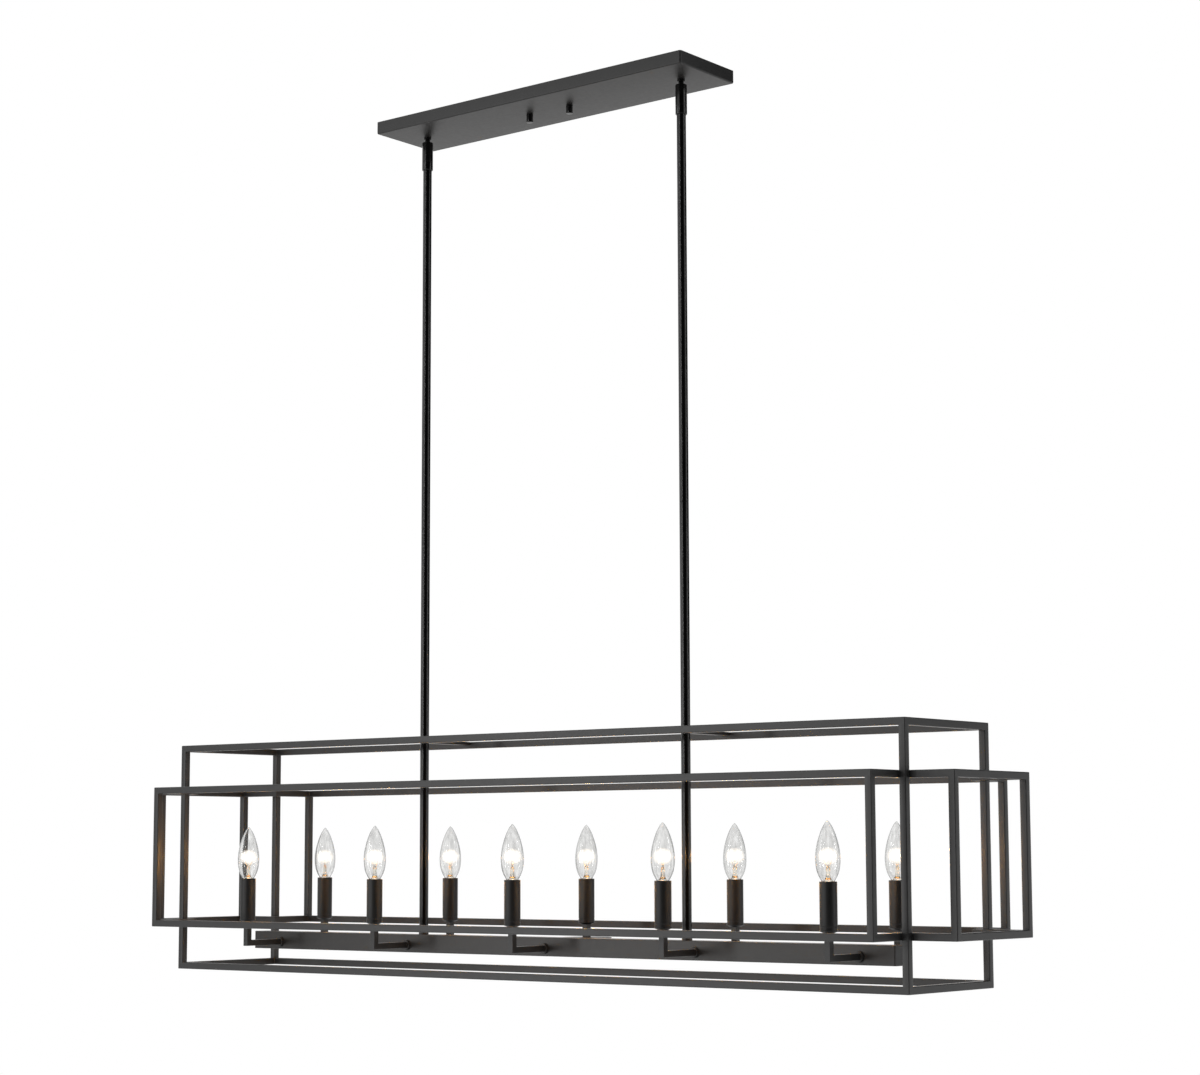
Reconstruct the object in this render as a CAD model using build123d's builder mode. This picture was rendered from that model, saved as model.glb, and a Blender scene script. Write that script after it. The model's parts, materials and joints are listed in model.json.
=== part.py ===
from build123d import *

import math
import os

# Linear island pendant: a rectangular box frame nested in a plus-shaped band frame, hung from
# a long canopy by two sectional rods on ball swivels, with five pairs of candle lights on a
# square wiring channel. Millimetres. Z = 0 is the ceiling, +Z points up at it, +X runs along
# the fixture, and the origin is the canopy's centre.

os.makedirs("parts", exist_ok=True)

# ---------------------------------------------------------------- driving sizes
INCH = 25.4

# canopy, an open pan pressed against the ceiling
canopy_length = 556.0
canopy_width = 124.0
canopy_height = 18.0
canopy_wall = 1.2
canopy_corner = 2.0
canopy_lower_edge = 1.6
canopy_bottom = -canopy_height
canopy_floor = canopy_bottom + canopy_wall

# crossbar that screws to the outlet box, with two studs for the knobs
crossbar_length = 120.0
crossbar_width = 19.0
crossbar_thickness = 2.0
box_screw_spacing = 3.5 * INCH
box_slot_length = 9.0
box_slot_width = 4.6
crossbar_corner = 4.0
stud_spacing = 73.0
stud_radius = 2.05
stud_length = canopy_height + 9.0
stud_nut_across = 7.2
stud_nut_height = 2.4
ground_screw_x = 16.0
ground_screw_radius = 2.0
ground_head_across = 8.4
ground_head_height = 2.2
hole_clearance = 0.2
knob_radius = 4.75
knob_height = 12.0
knob_crown = 2.0
knob_edge = 0.8

# hanging rods and swivels
rod_spacing = 466.0
rod_radius = 0.5 * INCH / 2
rod_bore = 5.1
nipple_radius = 5.0
nipple_bore = 3.75
section_lengths = {"3in": [3 * INCH], "6in": [6 * INCH], "12in": [12 * INCH, 12 * INCH]}
ball_radius = 6.8
ball_z = canopy_bottom - 13.0
stem_top = canopy_floor + 7.0
stem_boss_radius = 5.3
stem_boss_height = 3.4
stem_cone_height = 1.4
stem_waist_radius = 3.75
stem_bore = 2.6
washer_radius = 9.0
washer_thickness = 1.0
nut_across = 14.0
nut_height = 3.4
coupling_radius = 8.0
coupling_top = ball_z + 5.5
coupling_seam = ball_z - 24.0
coupling_bottom = ball_z - 36.5
coupling_bevel = 1.1
socket_gap = 0.3
lip_height = 3.4
mouth_radius = 6.7
spigot_height = 6.0
nipple_reach = 10.0

# square-tube frames
tube = 0.375 * INCH
tube_wall = 1.2
box_length = 1268.0
box_width = 200.0
box_height = 13.0 * INCH
band_inset = 2.5 * INCH
band_step = 62.0
rods_drop = sum(sum(lengths) for lengths in section_lengths.values())
box_top = coupling_bottom - rods_drop
box_bottom = box_top - box_height
band_top = box_top - band_inset
band_bottom = box_bottom + band_inset
strap_width = 14.0
strap_thickness = 4.5

# wiring channel
channel_size = 1.0 * INCH
channel_wall = 1.5
channel_length = 1120.0
channel_bottom = box_bottom + 29.0
channel_top = channel_bottom + channel_size
channel_mid = (channel_bottom + channel_top) / 2
channel_edge = 0.8
channel_cap = 1.5
channel_cap_plug = 6.0
channel_nipple_drop = 7.0
rod_collar_radius = 7.0
rod_collar_height = 4.5
rod_collar_edge = 0.6
bundle_radius = 2.0
bundle_drop = 3.0
bundle_inset = 20.0

# candle arms
station_pitch = 10.0 * INCH
station_count = 5
candle_reach = 80.0
arm_bar = 8.5
arm_wall = 1.0
arm_z = box_bottom + 39.5
arm_collar_radius = 7.1
arm_collar_depth = 4.0
arm_nipple_radius = 3.2
arm_nipple_bore = 2.2
arm_nipple_reach = 6.0
arm_nut_across = 10.0
arm_nut_depth = 2.6
cup_bottom = box_bottom + 70.3
cup_height = 3.4
cup_radius = 11.9
cup_foot_radius = 7.4
cup_cone_height = 2.2
sleeve_radius = 0.875 * INCH / 2
sleeve_wall = 1.0
sleeve_bottom = cup_bottom + 2.0
sleeve_top = box_bottom + 133.0
sleeve_edge = 0.4
socket_radius = 7.9
socket_bore = 6.2
socket_floor = 3.0
socket_top = sleeve_top - 4.0
disc_radius = 35.0
disc_thickness = 1.2
disc_z = box_bottom + 51.0

# torpedo bulbs: heights above the sleeve top
base_radius = 5.9
base_contact_radius = 2.4
base_cone_height = 3.0
base_bottom = -22.0
base_top = -3.4
neck_radius = 8.6
neck_height = 5.0
bulb_radius = 15.8
belly_height = 26.0
shoulder_arc = 91.4
tip_radius = 2.8
glass_wall = 0.8

half_rods = rod_spacing / 2
stations = [station_pitch * (i - (station_count - 1) / 2) for i in range(station_count)]


def save(part, name):
    """Label a finished piece and write its STEP file."""
    part.label = name
    export_step(part, f"parts/{name}.step")


# ---------------------------------------------------------------- canopy side
with BuildPart() as canopy_pan:
    with BuildSketch(Plane.XY.offset(canopy_bottom)):
        Rectangle(canopy_length, canopy_width)
    extrude(amount=canopy_height)
    fillet(canopy_pan.edges().filter_by(Axis.Z), canopy_corner)
    fillet(canopy_pan.faces().sort_by(Axis.Z)[0].edges(), canopy_lower_edge)
    offset(amount=-canopy_wall, openings=canopy_pan.faces().sort_by(Axis.Z)[-1])
    with Locations(Plane.XY.offset(canopy_floor)):
        with GridLocations(rod_spacing, 1, 2, 1):
            Hole(nipple_radius + hole_clearance, depth=2 * canopy_wall)
        with GridLocations(stud_spacing, 1, 2, 1):
            Hole(stud_radius + hole_clearance, depth=2 * canopy_wall)
save(canopy_pan.part, "canopy_pan")

with BuildPart() as mounting_crossbar:
    with BuildSketch(Plane.XY.offset(-crossbar_thickness)):
        RectangleRounded(crossbar_length, crossbar_width, crossbar_corner)
        with GridLocations(stud_spacing, 1, 2, 1):
            Circle(stud_radius, mode=Mode.SUBTRACT)
        with GridLocations(box_screw_spacing, 1, 2, 1):
            SlotOverall(box_slot_length, box_slot_width, mode=Mode.SUBTRACT)
        with Locations((ground_screw_x, 0)):
            Circle(ground_screw_radius, mode=Mode.SUBTRACT)
    extrude(amount=crossbar_thickness)
save(mounting_crossbar.part, "mounting_crossbar")

with BuildPart() as crossbar_studs:
    with BuildSketch(Plane.XY.offset(-stud_length)):
        with GridLocations(stud_spacing, 1, 2, 1):
            Circle(stud_radius)
    extrude(amount=stud_length)
    with BuildSketch(Plane.XY.offset(-crossbar_thickness - stud_nut_height)):
        with GridLocations(stud_spacing, 1, 2, 1):
            RegularPolygon(stud_nut_across / 2, 6, major_radius=False)
            Circle(stud_radius, mode=Mode.SUBTRACT)
    extrude(amount=stud_nut_height)
save(crossbar_studs.part, "crossbar_studs")

with BuildPart() as ground_screw:
    with BuildSketch(Plane.XY.offset(-crossbar_thickness)):
        with Locations((ground_screw_x, 0)):
            Circle(ground_screw_radius)
    extrude(amount=crossbar_thickness)
    with BuildSketch(Plane.XY.offset(-crossbar_thickness - ground_head_height)):
        with Locations((ground_screw_x, 0)):
            RegularPolygon(ground_head_across / 2, 6, major_radius=False)
    extrude(amount=ground_head_height)
save(ground_screw.part, "ground_screw")

knob_bore = stud_radius + hole_clearance
for side, name in ((-1, "knob_left"), (1, "knob_right")):
    with BuildPart() as knob:
        with BuildSketch(Plane.XY.offset(canopy_bottom - knob_height)):
            with Locations((side * stud_spacing / 2, 0)):
                Circle(knob_radius)
        extrude(amount=knob_height)
        fillet(knob.faces().sort_by(Axis.Z)[0].edges(), knob_edge)
        with BuildSketch(Plane.XY.offset(canopy_bottom)):
            with Locations((side * stud_spacing / 2, 0)):
                Circle(knob_bore)
        extrude(amount=knob_crown - knob_height, mode=Mode.SUBTRACT)
    save(knob.part, name)

# ball stems: threaded shank through the canopy, boss, waist and ball, bored for the leads
waist_half = math.sqrt(ball_radius**2 - stem_waist_radius**2)
ball_floor = ball_z - math.sqrt(ball_radius**2 - stem_bore**2)
boss_bottom = canopy_bottom - stem_boss_height
for side, name in ((-1, "swivel_stem_left"), (1, "swivel_stem_right")):
    with BuildPart() as stem:
        with BuildSketch(Plane.XZ):
            with BuildLine():
                Polyline(
                    (stem_bore, ball_floor),
                    (stem_bore, stem_top),
                    (nipple_radius, stem_top),
                    (nipple_radius, canopy_bottom),
                    (stem_boss_radius, canopy_bottom),
                    (stem_boss_radius, boss_bottom),
                    (stem_waist_radius, boss_bottom - stem_cone_height),
                    (stem_waist_radius, ball_z + waist_half),
                )
                ThreePointArc(
                    (stem_waist_radius, ball_z + waist_half),
                    (ball_radius, ball_z),
                    (stem_bore, ball_floor),
                )
            make_face()
        revolve(axis=Axis.Z)
    save(Pos(side * half_rods, 0, 0) * stem.part, name)

with BuildPart() as stem_washers:
    with BuildSketch(Plane.XY.offset(canopy_floor)):
        with GridLocations(rod_spacing, 1, 2, 1):
            Circle(washer_radius)
            Circle(nipple_radius, mode=Mode.SUBTRACT)
    extrude(amount=washer_thickness)
save(stem_washers.part, "stem_washers")

with BuildPart() as stem_nuts:
    with BuildSketch(Plane.XY.offset(canopy_floor + washer_thickness)):
        with GridLocations(rod_spacing, 1, 2, 1):
            RegularPolygon(nut_across / 2, 6, major_radius=False)
            Circle(nipple_radius, mode=Mode.SUBTRACT)
    extrude(amount=nut_height)
save(stem_nuts.part, "stem_nuts")

# leads rise out of the left stem and run to three wire connectors on the canopy floor
lead_radius = 0.8
lead_pitch = 1.75
lead_rise = stem_top + 3.2
lead_bend = 2.8
lead_sweep = 24.0
lead_straight = 50.0
connector_length = 20.0
connector_radius = 5.0
connector_tip_radius = 2.8
connector_x = -90.0
connector_spacing = 16.0
connector_z = canopy_floor + connector_radius
with BuildPart() as wire_connectors:
    for row in (-1, 0, 1):
        with BuildSketch(Plane.YZ.offset(connector_x)):
            with Locations((row * connector_spacing, connector_z)):
                Circle(connector_radius)
        with BuildSketch(Plane.YZ.offset(connector_x + connector_length)):
            with Locations((row * connector_spacing, connector_z)):
                Circle(connector_tip_radius)
        loft()
save(wire_connectors.part, "wire_connectors")

with BuildPart() as canopy_leads:
    for row in (-1, 0, 1):
        y_start = row * lead_pitch
        y_end = row * connector_spacing
        with BuildLine() as lead_line:
            FilletPolyline(
                (-half_rods, y_start, canopy_bottom),
                (-half_rods, y_start, lead_rise),
                (connector_x - lead_straight, y_end, connector_z),
                (connector_x, y_end, connector_z),
                radius=[lead_bend, lead_sweep],
            )
        with BuildSketch(Plane.XY.offset(canopy_bottom)):
            with Locations((-half_rods, y_start)):
                Circle(lead_radius)
        sweep(path=lead_line.line)
save(canopy_leads.part, "canopy_leads")

# ---------------------------------------------------------------- swivel couplings
cavity_radius = ball_radius + socket_gap
cavity_lip = math.sqrt(cavity_radius**2 - lip_height**2)
for side, name in ((-1, "swivel_coupling_left"), (1, "swivel_coupling_right")):
    with BuildPart() as coupling:
        with BuildSketch(Plane.XZ):
            with BuildLine():
                Polyline(
                    (cavity_radius, ball_z),
                    (cavity_radius, coupling_seam),
                    (coupling_radius, coupling_seam),
                    (coupling_radius, coupling_top - coupling_bevel),
                    (coupling_radius - coupling_bevel, coupling_top),
                    (mouth_radius, coupling_top),
                    (cavity_lip, ball_z + lip_height),
                )
                RadiusArc(
                    (cavity_lip, ball_z + lip_height),
                    (cavity_radius, ball_z),
                    cavity_radius,
                )
            make_face()
        revolve(axis=Axis.Z)
    save(Pos(side * half_rods, 0, 0) * coupling.part, name)

with BuildPart() as coupling_ferrules:
    with BuildSketch(Plane.XY.offset(coupling_bottom)):
        with GridLocations(rod_spacing, 1, 2, 1):
            Circle(coupling_radius)
            Circle(nipple_radius, mode=Mode.SUBTRACT)
    extrude(amount=coupling_seam - coupling_bottom)
    with BuildSketch(Plane.XY.offset(coupling_seam)):
        with GridLocations(rod_spacing, 1, 2, 1):
            Circle(cavity_radius)
            Circle(nipple_radius, mode=Mode.SUBTRACT)
    extrude(amount=spigot_height)
save(coupling_ferrules.part, "coupling_ferrules")

# ---------------------------------------------------------------- sectional rods
def rod_pair(low, high):
    """The left and right rod tubes between two levels, two solids."""
    with BuildPart() as rods:
        with BuildSketch(Plane.XY.offset(low)):
            with GridLocations(rod_spacing, 1, 2, 1):
                Circle(rod_radius)
                Circle(rod_bore, mode=Mode.SUBTRACT)
        extrude(amount=high - low)
    return rods.part.solids()


joint_heights = []
section_top = coupling_bottom
for label, lengths in section_lengths.items():
    sections = []
    for length in lengths:
        joint_heights.append(section_top)
        sections += rod_pair(section_top - length, section_top)
        section_top -= length
    save(Compound(children=sections), f"rods_{label}")

lower_rod_bottom = channel_top + rod_collar_height
save(Compound(children=rod_pair(lower_rod_bottom, box_top - strap_thickness)), "rods_lower")

# a threaded nipple in each joint: under the coupling, between sections, at the strap
joint_centres = joint_heights + [box_top - strap_thickness / 2]
with BuildPart() as rod_nipples:
    for height in joint_centres:
        with BuildSketch(Plane.XY.offset(height - nipple_reach)):
            with GridLocations(rod_spacing, 1, 2, 1):
                Circle(nipple_radius)
                Circle(nipple_bore, mode=Mode.SUBTRACT)
        extrude(amount=2 * nipple_reach)
save(rod_nipples.part, "rod_nipples")

with BuildPart() as channel_nipples:
    with BuildSketch(Plane.XY.offset(channel_top - channel_nipple_drop)):
        with GridLocations(rod_spacing, 1, 2, 1):
            Circle(nipple_radius)
            Circle(nipple_bore, mode=Mode.SUBTRACT)
    extrude(amount=channel_nipple_drop + rod_collar_height + nipple_reach)
    with BuildSketch(Plane.XY.offset(channel_top - channel_wall - nut_height)):
        with GridLocations(rod_spacing, 1, 2, 1):
            RegularPolygon(nut_across / 2, 6, major_radius=False)
            Circle(nipple_radius, mode=Mode.SUBTRACT)
    extrude(amount=nut_height)
save(channel_nipples.part, "channel_nipples")

with BuildPart() as rod_collars:
    with BuildSketch(Plane.XY.offset(channel_top)):
        with GridLocations(rod_spacing, 1, 2, 1):
            Circle(rod_collar_radius)
            Circle(nipple_radius, mode=Mode.SUBTRACT)
    extrude(amount=rod_collar_height)
    rims = rod_collars.faces().group_by(Axis.Z)[-1].edges()
    chamfer(rims.group_by(SortBy.RADIUS)[-1], rod_collar_edge)
save(rod_collars.part, "rod_collars")

# ---------------------------------------------------------------- frame tubes
def mitred_loop(points, level):
    """Hollow square tubes round a closed plan path, mitred at each corner, one solid each."""
    solids = []
    count = len(points)
    for index, start in enumerate(points):
        before = Vector(*points[index - 1])
        here = Vector(*start)
        there = Vector(*points[(index + 1) % count])
        after = Vector(*points[(index + 2) % count])
        run = (there - here).normalized()
        cut_in = ((here - before).normalized() + run).normalized()
        cut_out = ((after - there).normalized() + run).normalized()
        length = (there - here).length
        start_plane = Plane(
            origin=(here.X - run.X * tube, here.Y - run.Y * tube, level + tube / 2),
            x_dir=(0, 0, 1),
            z_dir=(run.X, run.Y, 0),
        )
        with BuildPart() as piece:
            with BuildSketch(start_plane):
                Rectangle(tube, tube)
                Rectangle(tube - 2 * tube_wall, tube - 2 * tube_wall, mode=Mode.SUBTRACT)
            extrude(amount=length + 2 * tube)
            split(bisect_by=Plane(origin=(here.X, here.Y, level), z_dir=(cut_in.X, cut_in.Y, 0)))
            split(
                bisect_by=Plane(origin=(there.X, there.Y, level), z_dir=(-cut_out.X, -cut_out.Y, 0))
            )
        solids.append(piece.part.solid())
    return solids


def rectangle_path(half_x, half_y):
    """Corner points of a rectangle, anticlockwise."""
    return [(-half_x, -half_y), (half_x, -half_y), (half_x, half_y), (-half_x, half_y)]


def plus_path(outer_x, outer_y, inner_x, inner_y):
    """Corner points of a plus-shaped outline, anticlockwise."""
    return [
        (-inner_x, -outer_y), (inner_x, -outer_y), (inner_x, -inner_y), (outer_x, -inner_y),
        (outer_x, inner_y), (inner_x, inner_y), (inner_x, outer_y), (-inner_x, outer_y),
        (-inner_x, inner_y), (-outer_x, inner_y), (-outer_x, -inner_y), (-inner_x, -inner_y),
    ]


def post_group(points, low, high):
    """Upright hollow square tubes between two levels."""
    with BuildPart() as posts:
        with BuildSketch(Plane.XY.offset(low)):
            with Locations(*points):
                Rectangle(tube, tube)
                Rectangle(tube - 2 * tube_wall, tube - 2 * tube_wall, mode=Mode.SUBTRACT)
        extrude(amount=high - low)
    return posts.part


box_x = box_length / 2 - tube / 2
box_y = box_width / 2 - tube / 2
box_path = rectangle_path(box_x, box_y)
save(Compound(children=mitred_loop(box_path, box_top - tube)), "box_top_rails")
save(Compound(children=mitred_loop(box_path, box_bottom)), "box_bottom_rails")
save(post_group(box_path, box_bottom + tube, box_top - tube), "box_posts")

# the box posts sit in the four inner corners of the plus
outer_x = box_length / 2 + band_step - tube / 2
outer_y = box_width / 2 + band_step - tube / 2
inner_x = box_x - tube
inner_y = box_y - tube
band_path = plus_path(outer_x, outer_y, inner_x, inner_y)
band_corners = [point for point in band_path if point[0] in (-outer_x, outer_x)]
band_corners += [point for point in band_path if point[1] in (-outer_y, outer_y)]
save(Compound(children=mitred_loop(band_path, band_top - tube)), "band_top_rails")
save(Compound(children=mitred_loop(band_path, band_bottom)), "band_bottom_rails")
save(post_group(band_corners, band_bottom + tube, band_top - tube), "band_posts")

# flat straps across the box top carry it on the rods
strap_span = box_width - 2 * tube
with BuildPart() as top_straps:
    with BuildSketch(Plane.XY.offset(box_top - strap_thickness)):
        with GridLocations(rod_spacing, 1, 2, 1):
            Rectangle(strap_width, strap_span)
            Circle(nipple_radius, mode=Mode.SUBTRACT)
    extrude(amount=strap_thickness)
save(top_straps.part, "top_straps")

# ---------------------------------------------------------------- wiring channel
channel_inside = channel_size - 2 * channel_wall
with BuildPart() as wiring_channel:
    with BuildSketch(Plane.YZ.offset(-channel_length / 2)):
        with Locations((0, channel_mid)):
            RectangleRounded(channel_size, channel_size, channel_edge)
            Rectangle(channel_inside, channel_inside, mode=Mode.SUBTRACT)
    extrude(amount=channel_length)
    with BuildSketch(Plane.XY.offset(channel_top)):
        with GridLocations(rod_spacing, 1, 2, 1):
            Circle(nipple_radius)
    extrude(amount=-2 * channel_wall, mode=Mode.SUBTRACT)
    with BuildSketch(Plane.XZ.offset(-channel_size)):
        with Locations(*[(x, arm_z) for x in stations]):
            Circle(arm_nipple_radius)
    extrude(amount=2 * channel_size, mode=Mode.SUBTRACT)
save(wiring_channel.part, "wiring_channel")

with BuildPart() as channel_end_caps:
    for side in (-1, 1):
        with BuildSketch(Plane.YZ.offset(side * channel_length / 2)):
            with Locations((0, channel_mid)):
                RectangleRounded(channel_size, channel_size, channel_edge)
        extrude(amount=side * channel_cap)
        with BuildSketch(Plane.YZ.offset(side * channel_length / 2)):
            with Locations((0, channel_mid)):
                Rectangle(channel_inside, channel_inside)
        extrude(amount=-side * channel_cap_plug)
save(channel_end_caps.part, "channel_end_caps")

# one bundle down the left rod and one along the channel
bundle_mid = channel_mid - bundle_drop
with BuildPart() as wire_harness:
    with BuildSketch(Plane.YZ.offset(bundle_inset - channel_length / 2)):
        with Locations((0, bundle_mid)):
            Circle(bundle_radius)
    extrude(amount=channel_length - 2 * bundle_inset)
    with BuildSketch(Plane.XY.offset(bundle_mid + bundle_radius)):
        with Locations((-half_rods, 0)):
            Circle(bundle_radius)
    extrude(amount=coupling_bottom - bundle_mid)
save(wire_harness.part, "wire_harness")

# ---------------------------------------------------------------- candle arms
def arm_outline(side, inset):
    """Outline of an L-shaped bar seen along X; inset shrinks it to the bore."""
    face = side * channel_size / 2
    reach = side * (candle_reach + arm_bar / 2 - inset)
    inner = side * (candle_reach - arm_bar / 2 + inset)
    low = arm_z - arm_bar / 2 + inset
    high = arm_z + arm_bar / 2 - inset
    foot = [(face, low), (reach, low), (reach, cup_bottom)]
    return foot + [(inner, cup_bottom), (inner, high), (face, high)]


for side, row in ((-1, "front"), (1, "rear")):
    for number, x in enumerate(stations, start=1):
        with BuildPart() as arm:
            with BuildSketch(Plane.YZ.offset(x - arm_bar / 2)):
                Polygon(*arm_outline(side, 0.0), align=None)
            extrude(amount=arm_bar)
            with BuildSketch(Plane.YZ.offset(x - arm_bar / 2 + arm_wall)):
                Polygon(*arm_outline(side, arm_wall), align=None)
            extrude(amount=arm_bar - 2 * arm_wall, mode=Mode.SUBTRACT)
        save(arm.part, f"arm_{row}_{number}")

with BuildPart() as arm_collars:
    for side in (-1, 1):
        with BuildSketch(Plane.XZ.offset(-side * channel_size / 2)):
            with Locations(*[(x, arm_z) for x in stations]):
                Circle(arm_collar_radius)
                Rectangle(arm_bar, arm_bar, mode=Mode.SUBTRACT)
        extrude(amount=-side * arm_collar_depth)
save(arm_collars.part, "arm_collars")

# hollow screws clamp each arm: nut inside the channel, shank into the arm
inner_face = channel_inside / 2
with BuildPart() as arm_fasteners:
    for side in (-1, 1):
        with BuildSketch(Plane.XZ.offset(-side * inner_face)):
            with Locations(*[(x, arm_z) for x in stations]):
                RegularPolygon(arm_nut_across / 2, 6, major_radius=False)
                Circle(arm_nipple_bore, mode=Mode.SUBTRACT)
        extrude(amount=side * arm_nut_depth)
        with BuildSketch(Plane.XZ.offset(-side * inner_face)):
            with Locations(*[(x, arm_z) for x in stations]):
                Circle(arm_nipple_radius)
                Circle(arm_nipple_bore, mode=Mode.SUBTRACT)
        extrude(amount=-side * (channel_wall + arm_nipple_reach))
save(arm_fasteners.part, "arm_fasteners")

seats = [(x, side * candle_reach) for side in (-1, 1) for x in stations]


def revolve_at(profile, places):
    """Revolve a radius-height outline about Z and repeat it at plan points."""
    with BuildPart() as turned:
        with BuildSketch(Plane.XZ):
            with BuildLine():
                Polyline(*profile, close=True)
            make_face()
        revolve(axis=Axis.Z)
    solid = turned.part.solid()
    return Compound(children=[Pos(x, y, 0) * solid for x, y in places])


cup_profile = [
    (arm_nipple_bore, cup_bottom),
    (cup_foot_radius, cup_bottom),
    (cup_radius, cup_bottom + cup_cone_height),
    (cup_radius, cup_bottom + cup_height),
    (sleeve_radius, cup_bottom + cup_height),
    (sleeve_radius, sleeve_bottom),
    (arm_nipple_bore, sleeve_bottom),
]
save(revolve_at(cup_profile, seats), "candle_cups")

sleeve_profile = [
    (sleeve_radius - sleeve_wall, sleeve_bottom),
    (sleeve_radius, sleeve_bottom),
    (sleeve_radius, sleeve_top - sleeve_edge),
    (sleeve_radius - sleeve_edge, sleeve_top),
    (sleeve_radius - sleeve_wall, sleeve_top),
]
save(revolve_at(sleeve_profile, seats[:station_count]), "candle_sleeves_front")
save(revolve_at(sleeve_profile, seats[station_count:]), "candle_sleeves_rear")

socket_seat = sleeve_top + base_bottom - socket_floor
socket_profile = [
    (arm_nipple_bore, sleeve_bottom),
    (socket_radius, sleeve_bottom),
    (socket_radius, socket_top),
    (socket_bore, socket_top),
    (socket_bore, socket_seat),
    (arm_nipple_bore, socket_seat),
]
save(revolve_at(socket_profile, seats), "lamp_sockets")

# round plate on the middle rear riser
with BuildPart() as riser_disc:
    with BuildSketch(Plane.XY.offset(disc_z)):
        with Locations((0, candle_reach)):
            Circle(disc_radius)
            Rectangle(arm_bar, arm_bar, mode=Mode.SUBTRACT)
    extrude(amount=disc_thickness)
save(riser_disc.part, "riser_disc")

# ---------------------------------------------------------------- bulbs
# the shoulder is one long arc from the belly, rounded off by a small arc at the tip
shoulder_x = bulb_radius - shoulder_arc


def glass_line(inset):
    """Half outline of the torpedo glass; inset gives the inner face. Returns its tip."""
    shoulder = shoulder_arc - inset
    tip = tip_radius - inset
    tip_z = belly_height + math.sqrt((shoulder - tip) ** 2 - shoulder_x**2)
    lean = math.acos(-shoulder_x / (shoulder - tip))
    belly = (bulb_radius - inset, sleeve_top + belly_height)
    join = (tip * math.cos(lean), sleeve_top + tip_z + tip * math.sin(lean))
    neck = (neck_radius - inset, sleeve_top + neck_height)
    Line((base_radius - inset, sleeve_top + base_top), neck)
    TangentArc(belly, neck, tangent=(0, -1))
    TangentArc(belly, join, tangent=(0, 1))
    top = (0, sleeve_top + tip_z + tip)
    TangentArc(top, join, tangent=(1, 0))
    return top


with BuildPart() as glass_shell:
    with BuildSketch(Plane.XZ):
        with BuildLine():
            Line(glass_line(0.0), glass_line(glass_wall))
            foot = sleeve_top + base_top
            Line((base_radius, foot), (base_radius - glass_wall, foot))
        make_face()
    revolve(axis=Axis.Z)

base_profile = [
    (0, base_bottom),
    (base_contact_radius, base_bottom),
    (base_radius, base_bottom + base_cone_height),
    (base_radius, base_top),
    (0, base_top),
]
with BuildPart() as screw_base:
    with BuildSketch(Plane.XZ):
        with BuildLine():
            Polyline(*[(r, sleeve_top + z) for r, z in base_profile], close=True)
        make_face()
    revolve(axis=Axis.Z)

for side, row in ((-1, "front"), (1, "rear")):
    for number, x in enumerate(stations, start=1):
        place = Pos(x, side * candle_reach, 0)
        pieces = [place * glass_shell.part.solid(), place * screw_base.part.solid()]
        save(Compound(children=pieces), f"bulb_{row}_{number}")
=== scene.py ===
"""Looks of a linear island pendant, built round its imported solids. Metres throughout.

Two nested frames of square tube hang from a long canopy on two sectional rods. Inside them a
square wiring channel carries five pairs of candle lights. Each sub-assembly is a class below.
"""

import json
import logging
import math
from dataclasses import dataclass, field
from enum import Enum
from typing import Callable, Iterable, Sequence

import bmesh
import bpy
from mathutils import Matrix, Vector

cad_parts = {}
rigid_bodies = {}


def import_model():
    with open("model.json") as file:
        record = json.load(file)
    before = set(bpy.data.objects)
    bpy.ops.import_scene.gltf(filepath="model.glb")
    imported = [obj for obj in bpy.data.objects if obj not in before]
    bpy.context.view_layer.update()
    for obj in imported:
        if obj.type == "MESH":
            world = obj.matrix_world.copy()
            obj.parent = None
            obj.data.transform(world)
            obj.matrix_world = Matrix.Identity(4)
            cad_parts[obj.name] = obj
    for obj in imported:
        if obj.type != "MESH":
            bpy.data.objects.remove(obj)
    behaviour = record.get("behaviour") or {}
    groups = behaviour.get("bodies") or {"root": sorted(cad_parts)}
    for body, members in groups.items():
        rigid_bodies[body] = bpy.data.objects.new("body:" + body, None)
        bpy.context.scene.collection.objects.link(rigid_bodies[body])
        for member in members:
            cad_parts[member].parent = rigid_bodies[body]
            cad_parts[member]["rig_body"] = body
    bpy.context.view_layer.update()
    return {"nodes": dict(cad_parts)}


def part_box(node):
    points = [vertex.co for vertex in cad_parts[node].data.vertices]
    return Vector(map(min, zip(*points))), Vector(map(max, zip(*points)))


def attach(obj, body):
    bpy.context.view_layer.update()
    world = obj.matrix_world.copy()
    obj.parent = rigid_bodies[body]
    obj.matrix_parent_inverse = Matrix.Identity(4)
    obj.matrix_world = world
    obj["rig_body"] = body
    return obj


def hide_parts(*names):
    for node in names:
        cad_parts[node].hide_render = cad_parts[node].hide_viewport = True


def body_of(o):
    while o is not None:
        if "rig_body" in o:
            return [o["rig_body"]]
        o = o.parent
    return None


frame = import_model()

LOG = logging.getLogger("pendant")
MM = 0.001
LIGHTS_PER_ROW = 5
WHITE = (1.0, 1.0, 1.0, 1.0)

Pair = tuple[float, float]
Point = tuple[float, float, float]
Colour = tuple[float, float, float]
Profile = Sequence[Pair]
Socket = bpy.types.NodeSocket
Material = bpy.types.Material


class Body(str, Enum):
    """Rigid bodies that carry more than one piece."""

    CANOPY = "canopy"
    PENDANT = "pendant"


class Side(Enum):
    """The two rows of lights, by the sign of their Y."""

    FRONT = -1
    REAR = 1

    @property
    def word(self) -> str:
        """The row's word in node names."""
        return self.name.lower()


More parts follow.
